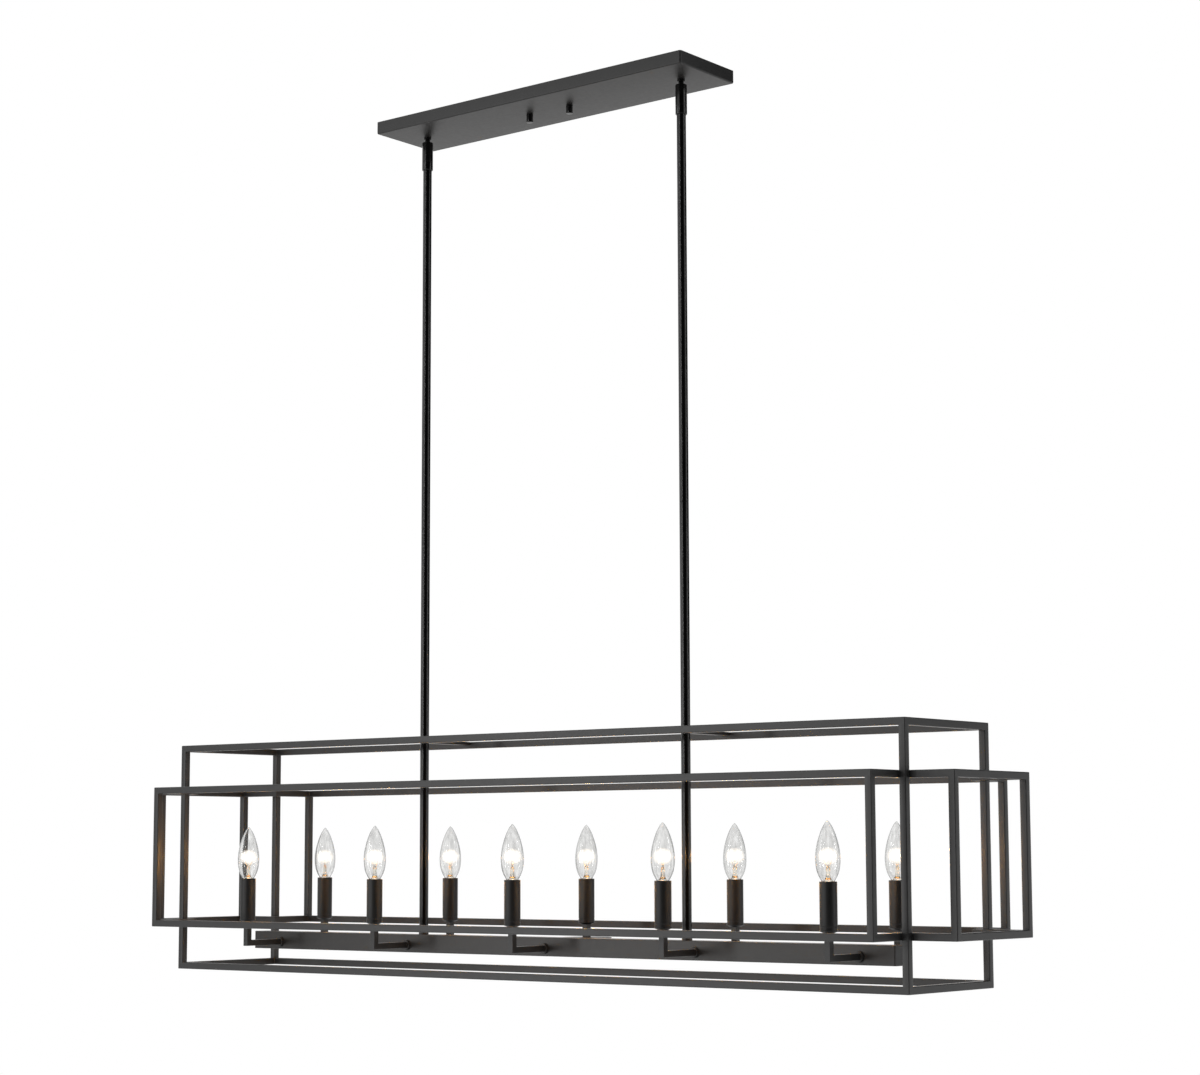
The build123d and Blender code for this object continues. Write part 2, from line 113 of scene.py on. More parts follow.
# ------------------------------------------------------------------ node trees
class Graph:
    """A node tree, with short calls to add and join nodes."""

    # where Blender keeps the colour sockets of a Mix node
    MIX_FIRST = 6
    MIX_SECOND = 7
    MIX_RESULT = 2

    def __init__(self, tree: bpy.types.NodeTree) -> None:
        """Start with an emptied tree.

        Args:
            tree: the tree to build in.
        """
        self.tree = tree
        self.tree.nodes.clear()

    def add(self, kind: str, **values: object) -> bpy.types.Node:
        """Add a node.

        Args:
            kind: the node's Blender type.
            **values: node settings, or sockets by name with spaces as underscores.

        Returns:
            The new node.
        """
        node = self.tree.nodes.new(kind)
        for key, value in values.items():
            socket = node.inputs.get(key.replace("_", " "))
            if socket is None:
                setattr(node, key, value)
            else:
                socket.default_value = value
        return node

    def join(self, source: Socket, target: Socket) -> None:
        """Link two sockets."""
        self.tree.links.new(source, target)

    def feed(self, value: Socket | Colour | float, target: Socket) -> None:
        """Link a socket, or give it a plain colour or number.

        Args:
            value: another socket, a colour or a number.
            target: the socket that takes it.
        """
        if isinstance(value, Socket):
            self.join(value, target)
        elif isinstance(value, tuple):
            target.default_value = (*value, 1.0)
        else:
            target.default_value = value

    def calculate(self, operation: str, first: Socket, second: Socket | float) -> Socket:
        """Work out one value from two.

        Args:
            operation: Blender's name for it.
            first: the first value.
            second: the second value.

        Returns:
            The result.
        """
        node = self.add("ShaderNodeMath", operation=operation)
        self.feed(first, node.inputs[0])
        self.feed(second, node.inputs[1])
        return node.outputs[0]

    def blend(self, factor: Socket, low: Socket | Colour, high: Socket | Colour) -> Socket:
        """Mix two colours by a factor.

        Args:
            factor: 0 for the first colour and 1 for the second.
            low: the first colour.
            high: the second colour.

        Returns:
            The mixed colour.
        """
        node = self.add("ShaderNodeMix", data_type="RGBA")
        self.feed(low, node.inputs[self.MIX_FIRST])
        self.feed(high, node.inputs[self.MIX_SECOND])
        self.join(factor, node.inputs["Factor"])
        return node.outputs[self.MIX_RESULT]

    def layer(self, share: Socket, below: Socket, above: Socket) -> Socket:
        """Mix two shaders.

        Args:
            share: 0 shows the first shader and 1 the second.
            below: the first shader.
            above: the second shader.

        Returns:
            The mixed shader.
        """
        node = self.add("ShaderNodeMixShader")
        self.join(share, node.inputs["Fac"])
        self.join(below, node.inputs[1])
        self.join(above, node.inputs[2])
        return node.outputs["Shader"]


class Sheet(Graph):
    """A material's node tree, with the patterns that the finishes share."""

    # most of a fractal noise lies between these two values
    NOISE_LOW = 0.3
    NOISE_HIGH = 0.7
    # octaves of a soft pattern
    SOFT = 1.0

    def __init__(self, name: str) -> None:
        """Start an empty material.

        Args:
            name: the material's name.
        """
        self.material = bpy.data.materials.new(name)
        self.material.use_nodes = True
        super().__init__(self.material.node_tree)
        self.output = self.add("ShaderNodeOutputMaterial")
        self.place = self.add("ShaderNodeTexCoord").outputs["Object"]

    def noise(self, scale: float, detail: float = 3.0, stretch: float = 1.0) -> Socket:
        """Fractal noise in the object's metres.

        Args:
            scale: features per metre.
            detail: octaves.
            stretch: share of that scale along the vertical, where less makes upright lines.

        Returns:
            The noise's value socket.
        """
        place = self.place
        if stretch != 1.0:
            drawn = self.add("ShaderNodeMapping", Scale=(1.0, 1.0, stretch))
            self.join(place, drawn.inputs["Vector"])
            place = drawn.outputs["Vector"]
        node = self.add("ShaderNodeTexNoise", Scale=scale, Detail=detail)
        self.join(place, node.inputs["Vector"])
        return node.outputs["Fac"]

    def remap(self, source: Socket, low: float, high: float) -> Socket:
        """Spread a noise over a wanted range.

        Args:
            source: the noise.
            low: value where the noise is low.
            high: value where it is high.

        Returns:
            The mapped value.
        """
        node = self.add(
            "ShaderNodeMapRange",
            From_Min=self.NOISE_LOW,
            From_Max=self.NOISE_HIGH,
            To_Min=low,
            To_Max=high,
        )
        self.join(source, node.inputs["Value"])
        return node.outputs["Result"]

    def tone(self, pattern: Socket, low: Colour, high: Colour) -> Socket:
        """Let a noise wander between two colours.

        Args:
            pattern: the noise.
            low: colour where the noise is low.
            high: colour where it is high.

        Returns:
            The colour.
        """
        return self.blend(self.remap(pattern, 0.0, 1.0), low, high)

    def bump(self, height: Socket, depth: float, strength: float = 1.0) -> Socket:
        """Turn a height into a normal.

        Args:
            height: the height map.
            depth: the height's distance in metres.
            strength: share of the effect.

        Returns:
            The normal.
        """
        node = self.add("ShaderNodeBump", Strength=strength, Distance=depth)
        self.join(height, node.inputs["Height"])
        return node.outputs["Normal"]

    def cover(self, surface: Socket) -> Material:
        """Use a shader as the surface, and hand the material over."""
        self.join(surface, self.output.inputs["Surface"])
        return self.material

    def coat(
        self, shader: bpy.types.Node, colour: Socket, rough: Socket, normal: Socket
    ) -> Material:
        """Use a Principled shader as the surface, with its three patterns.

        Args:
            shader: the Principled node.
            colour: its base colour.
            rough: its roughness.
            normal: its normal.

        Returns:
            The material.
        """
        self.join(colour, shader.inputs["Base Color"])
        self.join(rough, shader.inputs["Roughness"])
        self.join(normal, shader.inputs["Normal"])
        return self.cover(shader.outputs["BSDF"])


# ------------------------------------------------------------------ finishes
@dataclass(frozen=True)
class Powder:
    """Sprayed coat: dark charcoal with faint mottling and a fine orange-peel texture."""

    name: str = "powder_coat"
    low: Colour = (0.0145, 0.0145, 0.0146)
    high: Colour = (0.0185, 0.0183, 0.0182)
    rough: Pair = (0.33, 0.38)
    specular: float = 0.36
    grain: float = 1100.0
    depth: float = 0.00002
    depth_share: float = 0.5
    mottle_grains: float = 12.0
    mottle_detail: float = 4.0
    sheen_grains: float = 6.0

    def material(self) -> Material:
        """Build the node material.

        Returns:
            The material.
        """
        sheet = Sheet(self.name)
        shader = sheet.add("ShaderNodeBsdfPrincipled", Specular_IOR_Level=self.specular)
        mottle = sheet.noise(self.grain / self.mottle_grains, self.mottle_detail)
        sheen = sheet.noise(self.grain / self.sheen_grains)
        return sheet.coat(
            shader,
            sheet.tone(mottle, self.low, self.high),
            sheet.remap(sheen, *self.rough),
            sheet.bump(sheet.noise(self.grain), self.depth, self.depth_share),
        )


PAN_COAT = Powder(
    name="pan_coat",
    low=(0.0125, 0.0125, 0.0126),
    high=(0.0155, 0.0154, 0.0153),
    rough=(0.42, 0.46),
    depth=0.00001,
)
SATIN_SLEEVE = Powder(
    name="sleeve_coat",
    low=(0.0050, 0.0050, 0.0050),
    high=(0.0068, 0.0067, 0.0066),
    rough=(0.45, 0.49),
    specular=0.34,
    depth=0.000004,
)
GLOSS_ROD = Powder(
    name="rod_coat",
    low=(0.0022, 0.0022, 0.0023),
    high=(0.0030, 0.0030, 0.0031),
    rough=(0.14, 0.17),
    depth=0.000003,
)


@dataclass(frozen=True)
class Metal:
    """Bare or plated metal with faint turning marks across the vertical."""

    name: str
    low: Colour
    high: Colour
    rough: Pair = (0.22, 0.36)
    cloud_scale: float = 160.0
    cloud_detail: float = 4.0
    sheen_scale: float = 420.0
    mark_scale: float = 2500.0
    mark_waver: float = 1.5
    mark_depth: float = 0.00001
    mark_share: float = 0.3

    def material(self) -> Material:
        """Build the node material.

        Returns:
            The material.
        """
        sheet = Sheet(self.name)
        shader = sheet.add("ShaderNodeBsdfPrincipled", Metallic=1.0)
        marks = sheet.add(
            "ShaderNodeTexWave",
            Scale=self.mark_scale,
            Distortion=self.mark_waver,
            bands_direction="Z",
        )
        sheet.join(sheet.place, marks.inputs["Vector"])
        cloud = sheet.noise(self.cloud_scale, self.cloud_detail)
        return sheet.coat(
            shader,
            sheet.tone(cloud, self.low, self.high),
            sheet.remap(sheet.noise(self.sheen_scale), *self.rough),
            sheet.bump(marks.outputs["Fac"], self.mark_depth, self.mark_share),
        )


@dataclass(frozen=True)
class Plastic:
    """Moulded plastic with a faint grain."""

    name: str
    low: Colour
    high: Colour
    rough: Pair = (0.38, 0.5)
    tone_scale: float = 300.0
    sheen_scale: float = 500.0
    grain_scale: float = 2200.0
    grain_depth: float = 0.00002
    grain_share: float = 0.4

    def material(self) -> Material:
        """Build the node material.

        Returns:
            The material.
        """
        sheet = Sheet(self.name)
        shader = sheet.add("ShaderNodeBsdfPrincipled")
        return sheet.coat(
            shader,
            sheet.tone(sheet.noise(self.tone_scale), self.low, self.high),
            sheet.remap(sheet.noise(self.sheen_scale), *self.rough),
            sheet.bump(sheet.noise(self.grain_scale), self.grain_depth, self.grain_share),
        )


@dataclass(frozen=True)
class ClearGlass:
    """Blown glass with faint draw lines and a painted shade that greys it where it is seen edge
    on; it lets lamp light out.
    """

    name: str = "bulb_glass"
    line: Colour = (0.76, 0.76, 0.755)
    face: Colour = (0.95, 0.95, 0.945)
    # painted shade: the grey that the glass colour turns to where it is seen edge on, from the
    # facing value below
    rim: Colour = (0.11, 0.11, 0.105)
    rim_start: float = 0.4
    index: float = 1.45
    line_scale: float = 230.0
    line_stretch: float = 0.09
    wave_scale: float = 40.0
    wave_depth: float = 0.00003

    def material(self) -> Material:
        """Build the node material.

        Returns:
            The material.
        """
        sheet = Sheet(self.name)
        shader = sheet.add(
            "ShaderNodeBsdfPrincipled", Roughness=0.0, IOR=self.index, Transmission_Weight=1.0
        )
        # painted shade: the colour greys towards the rim grey as the glass turns edge on to the
        # view
        facing = sheet.add("ShaderNodeLayerWeight", Blend=0.5).outputs["Facing"]
        edge = sheet.add(
            "ShaderNodeMapRange", From_Min=self.rim_start, interpolation_type="SMOOTHSTEP"
        )
        sheet.join(facing, edge.inputs["Value"])
        lines = sheet.noise(self.line_scale, Sheet.SOFT, self.line_stretch)
        clear_part = sheet.tone(lines, self.line, self.face)
        lines_and_rim_shade = sheet.blend(edge.outputs["Result"], clear_part, self.rim)
        sheet.join(lines_and_rim_shade, shader.inputs["Base Color"])
        wave = sheet.noise(self.wave_scale, Sheet.SOFT)
        sheet.join(sheet.bump(wave, self.wave_depth), shader.inputs["Normal"])
        shadow = sheet.add("ShaderNodeLightPath").outputs["Is Shadow Ray"]
        clear = sheet.add("ShaderNodeBsdfTransparent").outputs["BSDF"]
        return sheet.cover(sheet.layer(shadow, shader.outputs["BSDF"], clear))


STEM_GLASS = ClearGlass(
    name="stem_glass",
    line=(0.97, 0.91, 0.8),
    face=(1.0, 0.96, 0.88),
    # painted shade: the stem's colour deepens to this amber where it is seen edge on
    rim=(0.86, 0.66, 0.4),
)


@dataclass(frozen=True)
class Glow:
    """Hot filament wire: bright turns with cooler ones between them."""

    name: str = "hot_filament"
    cool: Colour = (1.0, 0.42, 0.08)
    hot: Colour = (1.0, 0.86, 0.62)
    strength: float = 9.0
    heat_scale: float = 260.0
    least_heat: float = 0.2

    def material(self) -> Material:
        """Build the node material.

        Returns:
            The material.
        """
        sheet = Sheet(self.name)
        light = sheet.add("ShaderNodeEmission", Strength=self.strength)
        heat = sheet.remap(sheet.noise(self.heat_scale, Sheet.SOFT), self.least_heat, 1.0)
        sheet.join(sheet.blend(heat, self.cool, self.hot), light.inputs["Color"])
        return sheet.cover(light.outputs["Emission"])


@dataclass(frozen=True)
class Bloom:
    """Uneven glare round a filament: brightest at its middle, nothing at its rim."""

    name: str = "lamp_bloom"
    core: Colour = (1.0, 0.98, 0.95)
    fringe: Colour = (1.0, 0.85, 0.70)
    strength: float = 1.5
    cover: float = 1.0
    fade_end: float = 0.72
    patch_scale: float = 240.0
    patch_detail: float = 2.0
    patch_least: float = 0.5

    def material(self) -> Material:
        """Build the node material.

        Returns:
            The material.
        """
        sheet = Sheet(self.name)
        light = sheet.add("ShaderNodeEmission", Strength=self.strength)
        clear = sheet.add("ShaderNodeBsdfTransparent").outputs["BSDF"]
        facing = sheet.add("ShaderNodeLayerWeight", Blend=0.5).outputs["Facing"]
        sheet.join(sheet.blend(facing, self.core, self.fringe), light.inputs["Color"])
        fade = sheet.add(
            "ShaderNodeMapRange",
            From_Max=self.fade_end,
            To_Min=self.cover,
            To_Max=0.0,
            interpolation_type="SMOOTHSTEP",
        )
        sheet.join(facing, fade.inputs["Value"])
        patch = sheet.noise(self.patch_scale, self.patch_detail)
        patch = sheet.remap(patch, self.patch_least, 1.0)
        share = sheet.calculate("MULTIPLY", fade.outputs["Result"], patch)
        return sheet.cover(sheet.layer(share, clear, light.outputs["Emission"]))


class Finishes:
    """Every finish of the fixture, made once and shared."""

    def __init__(self) -> None:
        """Build the materials."""
        self.powder = Powder().material()
        self.pan = PAN_COAT.material()
        self.sleeve = SATIN_SLEEVE.material()
        self.gloss = GLOSS_ROD.material()
        self.zinc = Metal("zinc_plate", (0.56, 0.56, 0.55), (0.72, 0.71, 0.68)).material()
        self.brass = Metal("brass_base", (0.62, 0.45, 0.2), (0.78, 0.6, 0.3)).material()
        self.wire = Metal(
            "support_wire", (0.72, 0.46, 0.16), (0.86, 0.6, 0.26), rough=(0.2, 0.3)
        ).material()
        self.green = Plastic(
            "green_screw_paint", (0.02, 0.2, 0.05), (0.04, 0.28, 0.08)
        ).material()
        self.insulation = Plastic(
            "wire_insulation", (0.012, 0.012, 0.012), (0.02, 0.02, 0.02)
        ).material()
        self.connector = Plastic(
            "connector_plastic", (0.6, 0.2, 0.03), (0.75, 0.28, 0.05)
        ).material()
        self.phenolic = Plastic(
            "socket_phenolic", (0.02, 0.018, 0.016), (0.04, 0.035, 0.03)
        ).material()
        self.insulator = Plastic(
            "base_insulator", (0.012, 0.012, 0.014), (0.03, 0.03, 0.032), rough=(0.2, 0.3)
        ).material()
        self.glass = ClearGlass().material()
        self.stem_glass = STEM_GLASS.material()
        self.filament = Glow().material()
        self.bloom = Bloom().material()


# ------------------------------------------------------------------ mesh making
def put(name: str, data: bpy.types.ID) -> bpy.types.Object:
    """Make an object of a mesh, lamp or camera, and link it to the scene.

    Args:
        name: the object's name.
        data: its mesh, lamp or camera.

    Returns:
        The new object.
    """
    made = bpy.data.objects.new(name, data)
    bpy.context.scene.collection.objects.link(made)
    return made


class Shape:
    """A mesh in the making, gathered from simple forms."""

    WELD = 1e-7
    BEVEL_STEPS = 3

    def __init__(self) -> None:
        """Start with nothing."""
        self.bm = bmesh.new()

    def ring(self, corners: Iterable[Sequence[float]]) -> list[bmesh.types.BMVert]:
        """Add a ring of corners."""
        return [self.bm.verts.new(corner) for corner in corners]

    def bridge(
        self, first: list[bmesh.types.BMVert], second: list[bmesh.types.BMVert]
    ) -> None:
        """Join two matching rings by a band of faces.

        Args:
            first: corners of one ring.
            second: corners of the other, in the same order.
        """
        count = len(first)
        for index in range(count):
            after = (index + 1) % count
            self.bm.faces.new((first[index], first[after], second[after], second[index]))

    def lathe(
        self,
        profile: Profile,
        centre: Point = (0, 0, 0),
        steps: int = 48,
        turn: Matrix | None = None,
        ripple: Callable[[float, float], float] | None = None,
    ) -> "Shape":
        """Turn an outline about a vertical axis.

        Args:
            profile: (radius, height) points; a radius of 0 closes on the axis.
            centre: where the axis starts.
            steps: facets round the axis.
            turn: rotation applied before the move to the centre.
            ripple: extra radius as a function of angle and height.

        Returns:
            The shape itself.
        """
        rows = []
        for radius, height in profile:
            row = []
            for step in range(steps if radius > 0 else 1):
                angle = math.tau * step / steps
                reach = radius + (ripple(angle, height) if ripple and radius > 0 else 0.0)
                spot = Vector((reach * math.cos(angle), reach * math.sin(angle), height))
                spot = (turn @ spot if turn else spot) + Vector(centre)
                row.append(self.bm.verts.new(spot))
            rows.append(row)
        for below, above in zip(rows, rows[1:]):
            for step in range(steps):
                after = (step + 1) % steps
                around = [
                    below[step % len(below)],
                    below[after % len(below)],
                    above[after % len(above)],
                    above[step % len(above)],
                ]
                corners = list(dict.fromkeys(around))
                if len(corners) > 2:
                    self.bm.faces.new(corners)
        return self

    def loop(
        self, outline: Profile, centre: Point, steps: int = 48, turn: Matrix | None = None
    ) -> "Shape":
        """Turn a closed outline, as a ring or tube.

        Args:
            outline: (radius, height) points, not repeated at the end.
            centre: where the axis starts.
            steps: facets round the axis.
            turn: rotation applied before the move to the centre.

        Returns:
            The shape itself.
        """
        return self.lathe([*outline, outline[0]], centre, steps, turn)

    def block(self, low: Sequence[float], high: Sequence[float]) -> "Shape":
        """Add a box.

        Args:
            low: its lowest corner.
            high: its highest corner.

        Returns:
            The shape itself.
        """
        for vert in bmesh.ops.create_cube(self.bm, size=1.0)["verts"]:
            for axis in range(3):
                vert.co[axis] = low[axis] if vert.co[axis] < 0 else high[axis]
        return self

    def hoop(self, outer: Profile, inner: Profile, low: float, high: float) -> "Shape":
        """Add a closed rail loop between two plan outlines.

        Args:
            outer: outer plan corners, anticlockwise.
            inner: inner plan corners, matching the outer ones.
            low: underside height.
            high: top height.

        Returns:
            The shape itself.
        """
        layers = [
            self.ring((x, y, z) for x, y in path)
            for path, z in ((outer, low), (outer, high), (inner, high), (inner, low))
        ]
        for first, second in zip(layers, layers[1:] + layers[:1]):
            self.bridge(first, second)
        return self

    def prism(self, outline: Sequence[Vector], depth: Vector) -> "Shape":
        """Add a flat outline carried along a vector.

        Args:
            outline: the outline's corners.
            depth: the way to its far end.

        Returns:
            The shape itself.
        """
        near = self.ring(outline)
        far = self.ring(spot + depth for spot in outline)
        self.bm.faces.new(near[::-1])
        self.bm.faces.new(far)
        self.bridge(near, far)
        return self

    def wire(self, path: Sequence[Vector], radius: float, sides: int) -> "Shape":
        """Sweep a round wire along points, without twist.

        Args:
            path: the wire's centre points.
            radius: wire radius.
            sides: facets round the wire.

        Returns:
            The shape itself.
        """
        turns = [math.tau * side / sides for side in range(sides)]
        rings = []
        heading = (path[1] - path[0]).normalized()
        across = heading.orthogonal().normalized()
        for index, spot in enumerate(path):
            ahead = path[min(index + 1, len(path) - 1)] - path[max(index - 1, 0)]
            heading = ahead.normalized()
            across = (across - heading * across.dot(heading)).normalized()
            upward = heading.cross(across)
            rings.append(
                self.ring(
                    spot + across * radius * math.cos(turn) + upward * radius * math.sin(turn)
                    for turn in turns
                )
            )
        for first, second in zip(rings, rings[1:]):
            self.bridge(first, second)
        self.bm.faces.new(rings[0][::-1])
        self.bm.faces.new(rings[-1])
        return self

    def piece(
        self,
        name: str,
        body: str,
        material: Material,
        stands_for: Iterable[str] = (),
        bevel: float = 0.0,
        crease: float = 32.0,
    ) -> bpy.types.Object:
        """Finish the mesh as a named piece of the fixture.

        Args:
            name: the piece's name.
            body: the rigid body it rides on.
            material: its finish.
            stands_for: solids that it replaces.
            bevel: rounding of its sharp edges.
            crease: angle in degrees above which an edge stays sharp.

        Returns:
            The new object.
        """
        bmesh.ops.remove_doubles(self.bm, verts=self.bm.verts, dist=self.WELD)
        bmesh.ops.recalc_face_normals(self.bm, faces=self.bm.faces)
        mesh = bpy.data.meshes.new(name)
        self.bm.to_mesh(mesh)
        self.bm.free()
        mesh.shade_smooth()
        if not bevel:
            mesh.set_sharp_from_angle(angle=math.radians(crease))
        mesh.materials.append(material)
        made = put(name, mesh)
        if bevel:
            modifier = made.modifiers.new("round", "BEVEL")
            modifier.width = bevel
            modifier.segments = self.BEVEL_STEPS
            modifier.limit_method = "ANGLE"
            modifier.angle_limit = math.radians(crease)
            modifier.harden_normals = True
        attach(made, body)
        if stands_for:
            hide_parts(*stands_for)
        return made


def span(node: str) -> tuple[Vector, Vector]:
    """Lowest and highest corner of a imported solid."""
    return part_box(node)


def dress(node: str, material: Material) -> None:
    """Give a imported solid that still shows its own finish.

    Args:
        node: the solid.
        material: its finish.
    """
    slots = frame["nodes"][node].data.materials
    slots.clear()
    slots.append(material)


def lifted(outline: Profile, height: float) -> list[Pair]:
    """A (radius, height) outline in millimetres, moved up to a height in metres."""
    return [(radius * MM, height + rise * MM) for radius, rise in outline]


def arc(centre: Pair, radius: float, start: float, end: float, steps: int) -> list[Pair]:
    """Points of an arc in a flat outline.

    Args:
        centre: the arc's centre.
        radius: its radius.
        start: first angle in degrees.
        end: last angle in degrees.
        steps: chords.

    Returns:
        The points from start to end.
    """
    turns = [math.radians(start + (end - start) * step / steps) for step in range(steps + 1)]
    return [(centre[0] + radius * math.cos(t), centre[1] + radius * math.sin(t)) for t in turns]


def curve(start: Pair, leave: Pair, arrive: Pair, end: Pair, steps: int) -> list[Pair]:
    """Points of a cubic curve in a flat outline.

    Args:
        start: first point.
        leave: handle that sets the direction at the start.
        arrive: handle that sets the direction at the end.
        end: last point.
        steps: chords.

    Returns:
        The points from start to end.
    """
    handles = (start, leave, arrive, end)
    points = []
    for step in range(steps + 1):
        t = step / steps
        weights = ((1 - t) ** 3, 3 * t * (1 - t) ** 2, 3 * t * t * (1 - t), t**3)
        points.append(tuple(sum(w * p[i] for w, p in zip(weights, handles)) for i in (0, 1)))
    return points


def rectangle(half_x: float, half_y: float) -> list[Pair]:
    """Plan corners of a rectangle, anticlockwise."""
    return [(-half_x, -half_y), (half_x, -half_y), (half_x, half_y), (-half_x, half_y)]


def rounded_rectangle(
    half_x: float, half_y: float, radius: float, steps: int, middle: Pair = (0.0, 0.0)
) -> list[Pair]:
    """Plan outline of a rectangle with round corners, anticlockwise.

    Args:
        half_x: half of its length.
        half_y: half of its width.
        radius: corner radius.
        steps: chords of each corner.
        middle: its centre.

    Returns:
        The outline's points.
    """
    points: list[Pair] = []
    for sign_x, sign_y, start in ((1, 1, 0), (-1, 1, 90), (-1, -1, 180), (1, -1, 270)):
        centre = (
            middle[0] + sign_x * (half_x - radius),
            middle[1] + sign_y * (half_y - radius),
        )
        points += arc(centre, radius, start, start + 90, steps)
    return points


def plus(outer_x: float, outer_y: float, inner_x: float, inner_y: float) -> list[Pair]:
    """Plan corners of a plus shape, anticlockwise.

    Args:
        outer_x: half of its length.
        outer_y: half of its width.
        inner_x: X of its inner corners.
        inner_y: Y of its inner corners.

    Returns:
        The twelve corners.
    """
    return [
        (-inner_x, -outer_y),
        (inner_x, -outer_y),
        (inner_x, -inner_y),
        (outer_x, -inner_y),
        (outer_x, inner_y),
        (inner_x, inner_y),
        (inner_x, outer_y),
        (-inner_x, outer_y),
        (-inner_x, inner_y),
        (-outer_x, inner_y),
        (-outer_x, -inner_y),
        (-inner_x, -inner_y),
    ]


# ------------------------------------------------------------------ sub-assemblies
@dataclass
class SubAssembly:
    """A group of pieces that is built and reported together."""

    finishes: Finishes
    pieces: list[bpy.types.Object] = field(default_factory=list)

    def build(self) -> None:
        """Make the group's meshes."""
        raise NotImplementedError

    def finish(self) -> None:
        """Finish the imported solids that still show; a group without any keeps this."""

    def keep(
        self,
        shape: Shape,
        name: str,
        material: Material,
        stands_for: Iterable[str] = (),
        body: str = Body.PENDANT.value,
        **edges: float,
    ) -> bpy.types.Object:
        """Finish a mesh and list it as a piece of this group.

        Args:
            shape: the mesh.
            name: the piece's name.
            material: its finish.
            stands_for: solids that it replaces.
            body: the rigid body it rides on.
            **edges: bevel and crease, as Shape.piece takes them.

        Returns:
            The new object.
        """
        made = shape.piece(name, body, material, stands_for, **edges)
        self.pieces.append(made)
        return made

    def report(self) -> None:
        """Log each piece that was made."""
        for made in self.pieces:
            LOG.info("%s: %s on %s", type(self).__name__, made.name, body_of(made))


@dataclass
class Canopy(SubAssembly):
    """Pan against the ceiling with its hardware and two knobs."""

    corner: float = 3.0 * MM
    tightest_corner: float = 0.4 * MM
    corner_steps: int = 6
    lower_edge: float = 2.2 * MM
    outer_edge_steps: int = 6
    inner_edge_steps: int = 4
    wall: float = 1.2 * MM
    pan_crease: float = 40.0
    knob_edge: float = 0.9 * MM
    knob_edge_steps: int = 5
    knob_chamfer: float = 0.4 * MM
    knob_steps: int = 40

    def build(self) -> None:
        """Make the pan and the knobs."""
        self.build_pan()
        for node in ("knob_left", "knob_right"):
            self.build_knob(node)

    def build_pan(self) -> None:
        """Drawn steel pan: flat floor, soft lower edge, straight sides and an open top."""
        low, high = span("canopy_pan")
        hub = (-self.lower_edge, low.z + self.lower_edge)
        outer_edge = arc(hub, self.lower_edge, -90, 0, self.outer_edge_steps)
        inner_edge = arc(hub, self.lower_edge - self.wall, -90, 0, self.inner_edge_steps)
        outside = [(0.0, high.z), *outer_edge[::-1]]
        inside = [*inner_edge, (-self.wall, high.z)]
        shape = Shape()
        rings = []
        for inset, height in [*outside, *inside]:
            radius = max(self.corner + inset, self.tightest_corner)
            path = rounded_rectangle(high.x + inset, high.y + inset, radius, self.corner_steps)
            rings.append(shape.ring((x, y, height) for x, y in path))
        outer_rings = rings[: len(outside)]
        inner_rings = rings[len(outside) :]
        for first, second in zip(outer_rings, outer_rings[1:]):
            shape.bridge(first, second)
        for first, second in zip(inner_rings, inner_rings[1:]):
            shape.bridge(first, second)
        shape.bridge(inner_rings[-1], outer_rings[0])
        shape.bm.faces.new(outer_rings[-1])
        shape.bm.faces.new(inner_rings[0])
        self.keep(
            shape,
            "canopy_shell",
            self.finishes.pan,
            ["canopy_pan"],
            Body.CANOPY.value,
            crease=self.pan_crease,
        )

    def build_knob(self, node: str) -> None:
        """Plain turned thumb nut with a softened end.

        Args:
            node: the knob's solid, which is also its body.
        """
        low, high = span(node)
        centre = (low + high) / 2
        radius = (high.x - low.x) / 2
        tall = high.z - low.z
        edge = self.knob_edge
        outline = [
            (0, 0),
            *arc((radius - edge, edge), edge, -90, 0, self.knob_edge_steps),
            (radius, tall - self.knob_chamfer),
            (radius - self.knob_chamfer, tall),
            (0, tall),
        ]
        shape = Shape().lathe(outline, (centre.x, centre.y, low.z), self.knob_steps)
        self.keep(shape, f"{node}_turned", self.finishes.gloss, [node], node)

    def finish(self) -> None:
        """Finish the hardware inside the pan."""
        for node in ("mounting_crossbar", "crossbar_studs", "stem_nuts", "stem_washers"):
            dress(node, self.finishes.zinc)
        dress("ground_screw", self.finishes.green)
        dress("wire_connectors", self.finishes.connector)
        dress("canopy_leads", self.finishes.insulation)


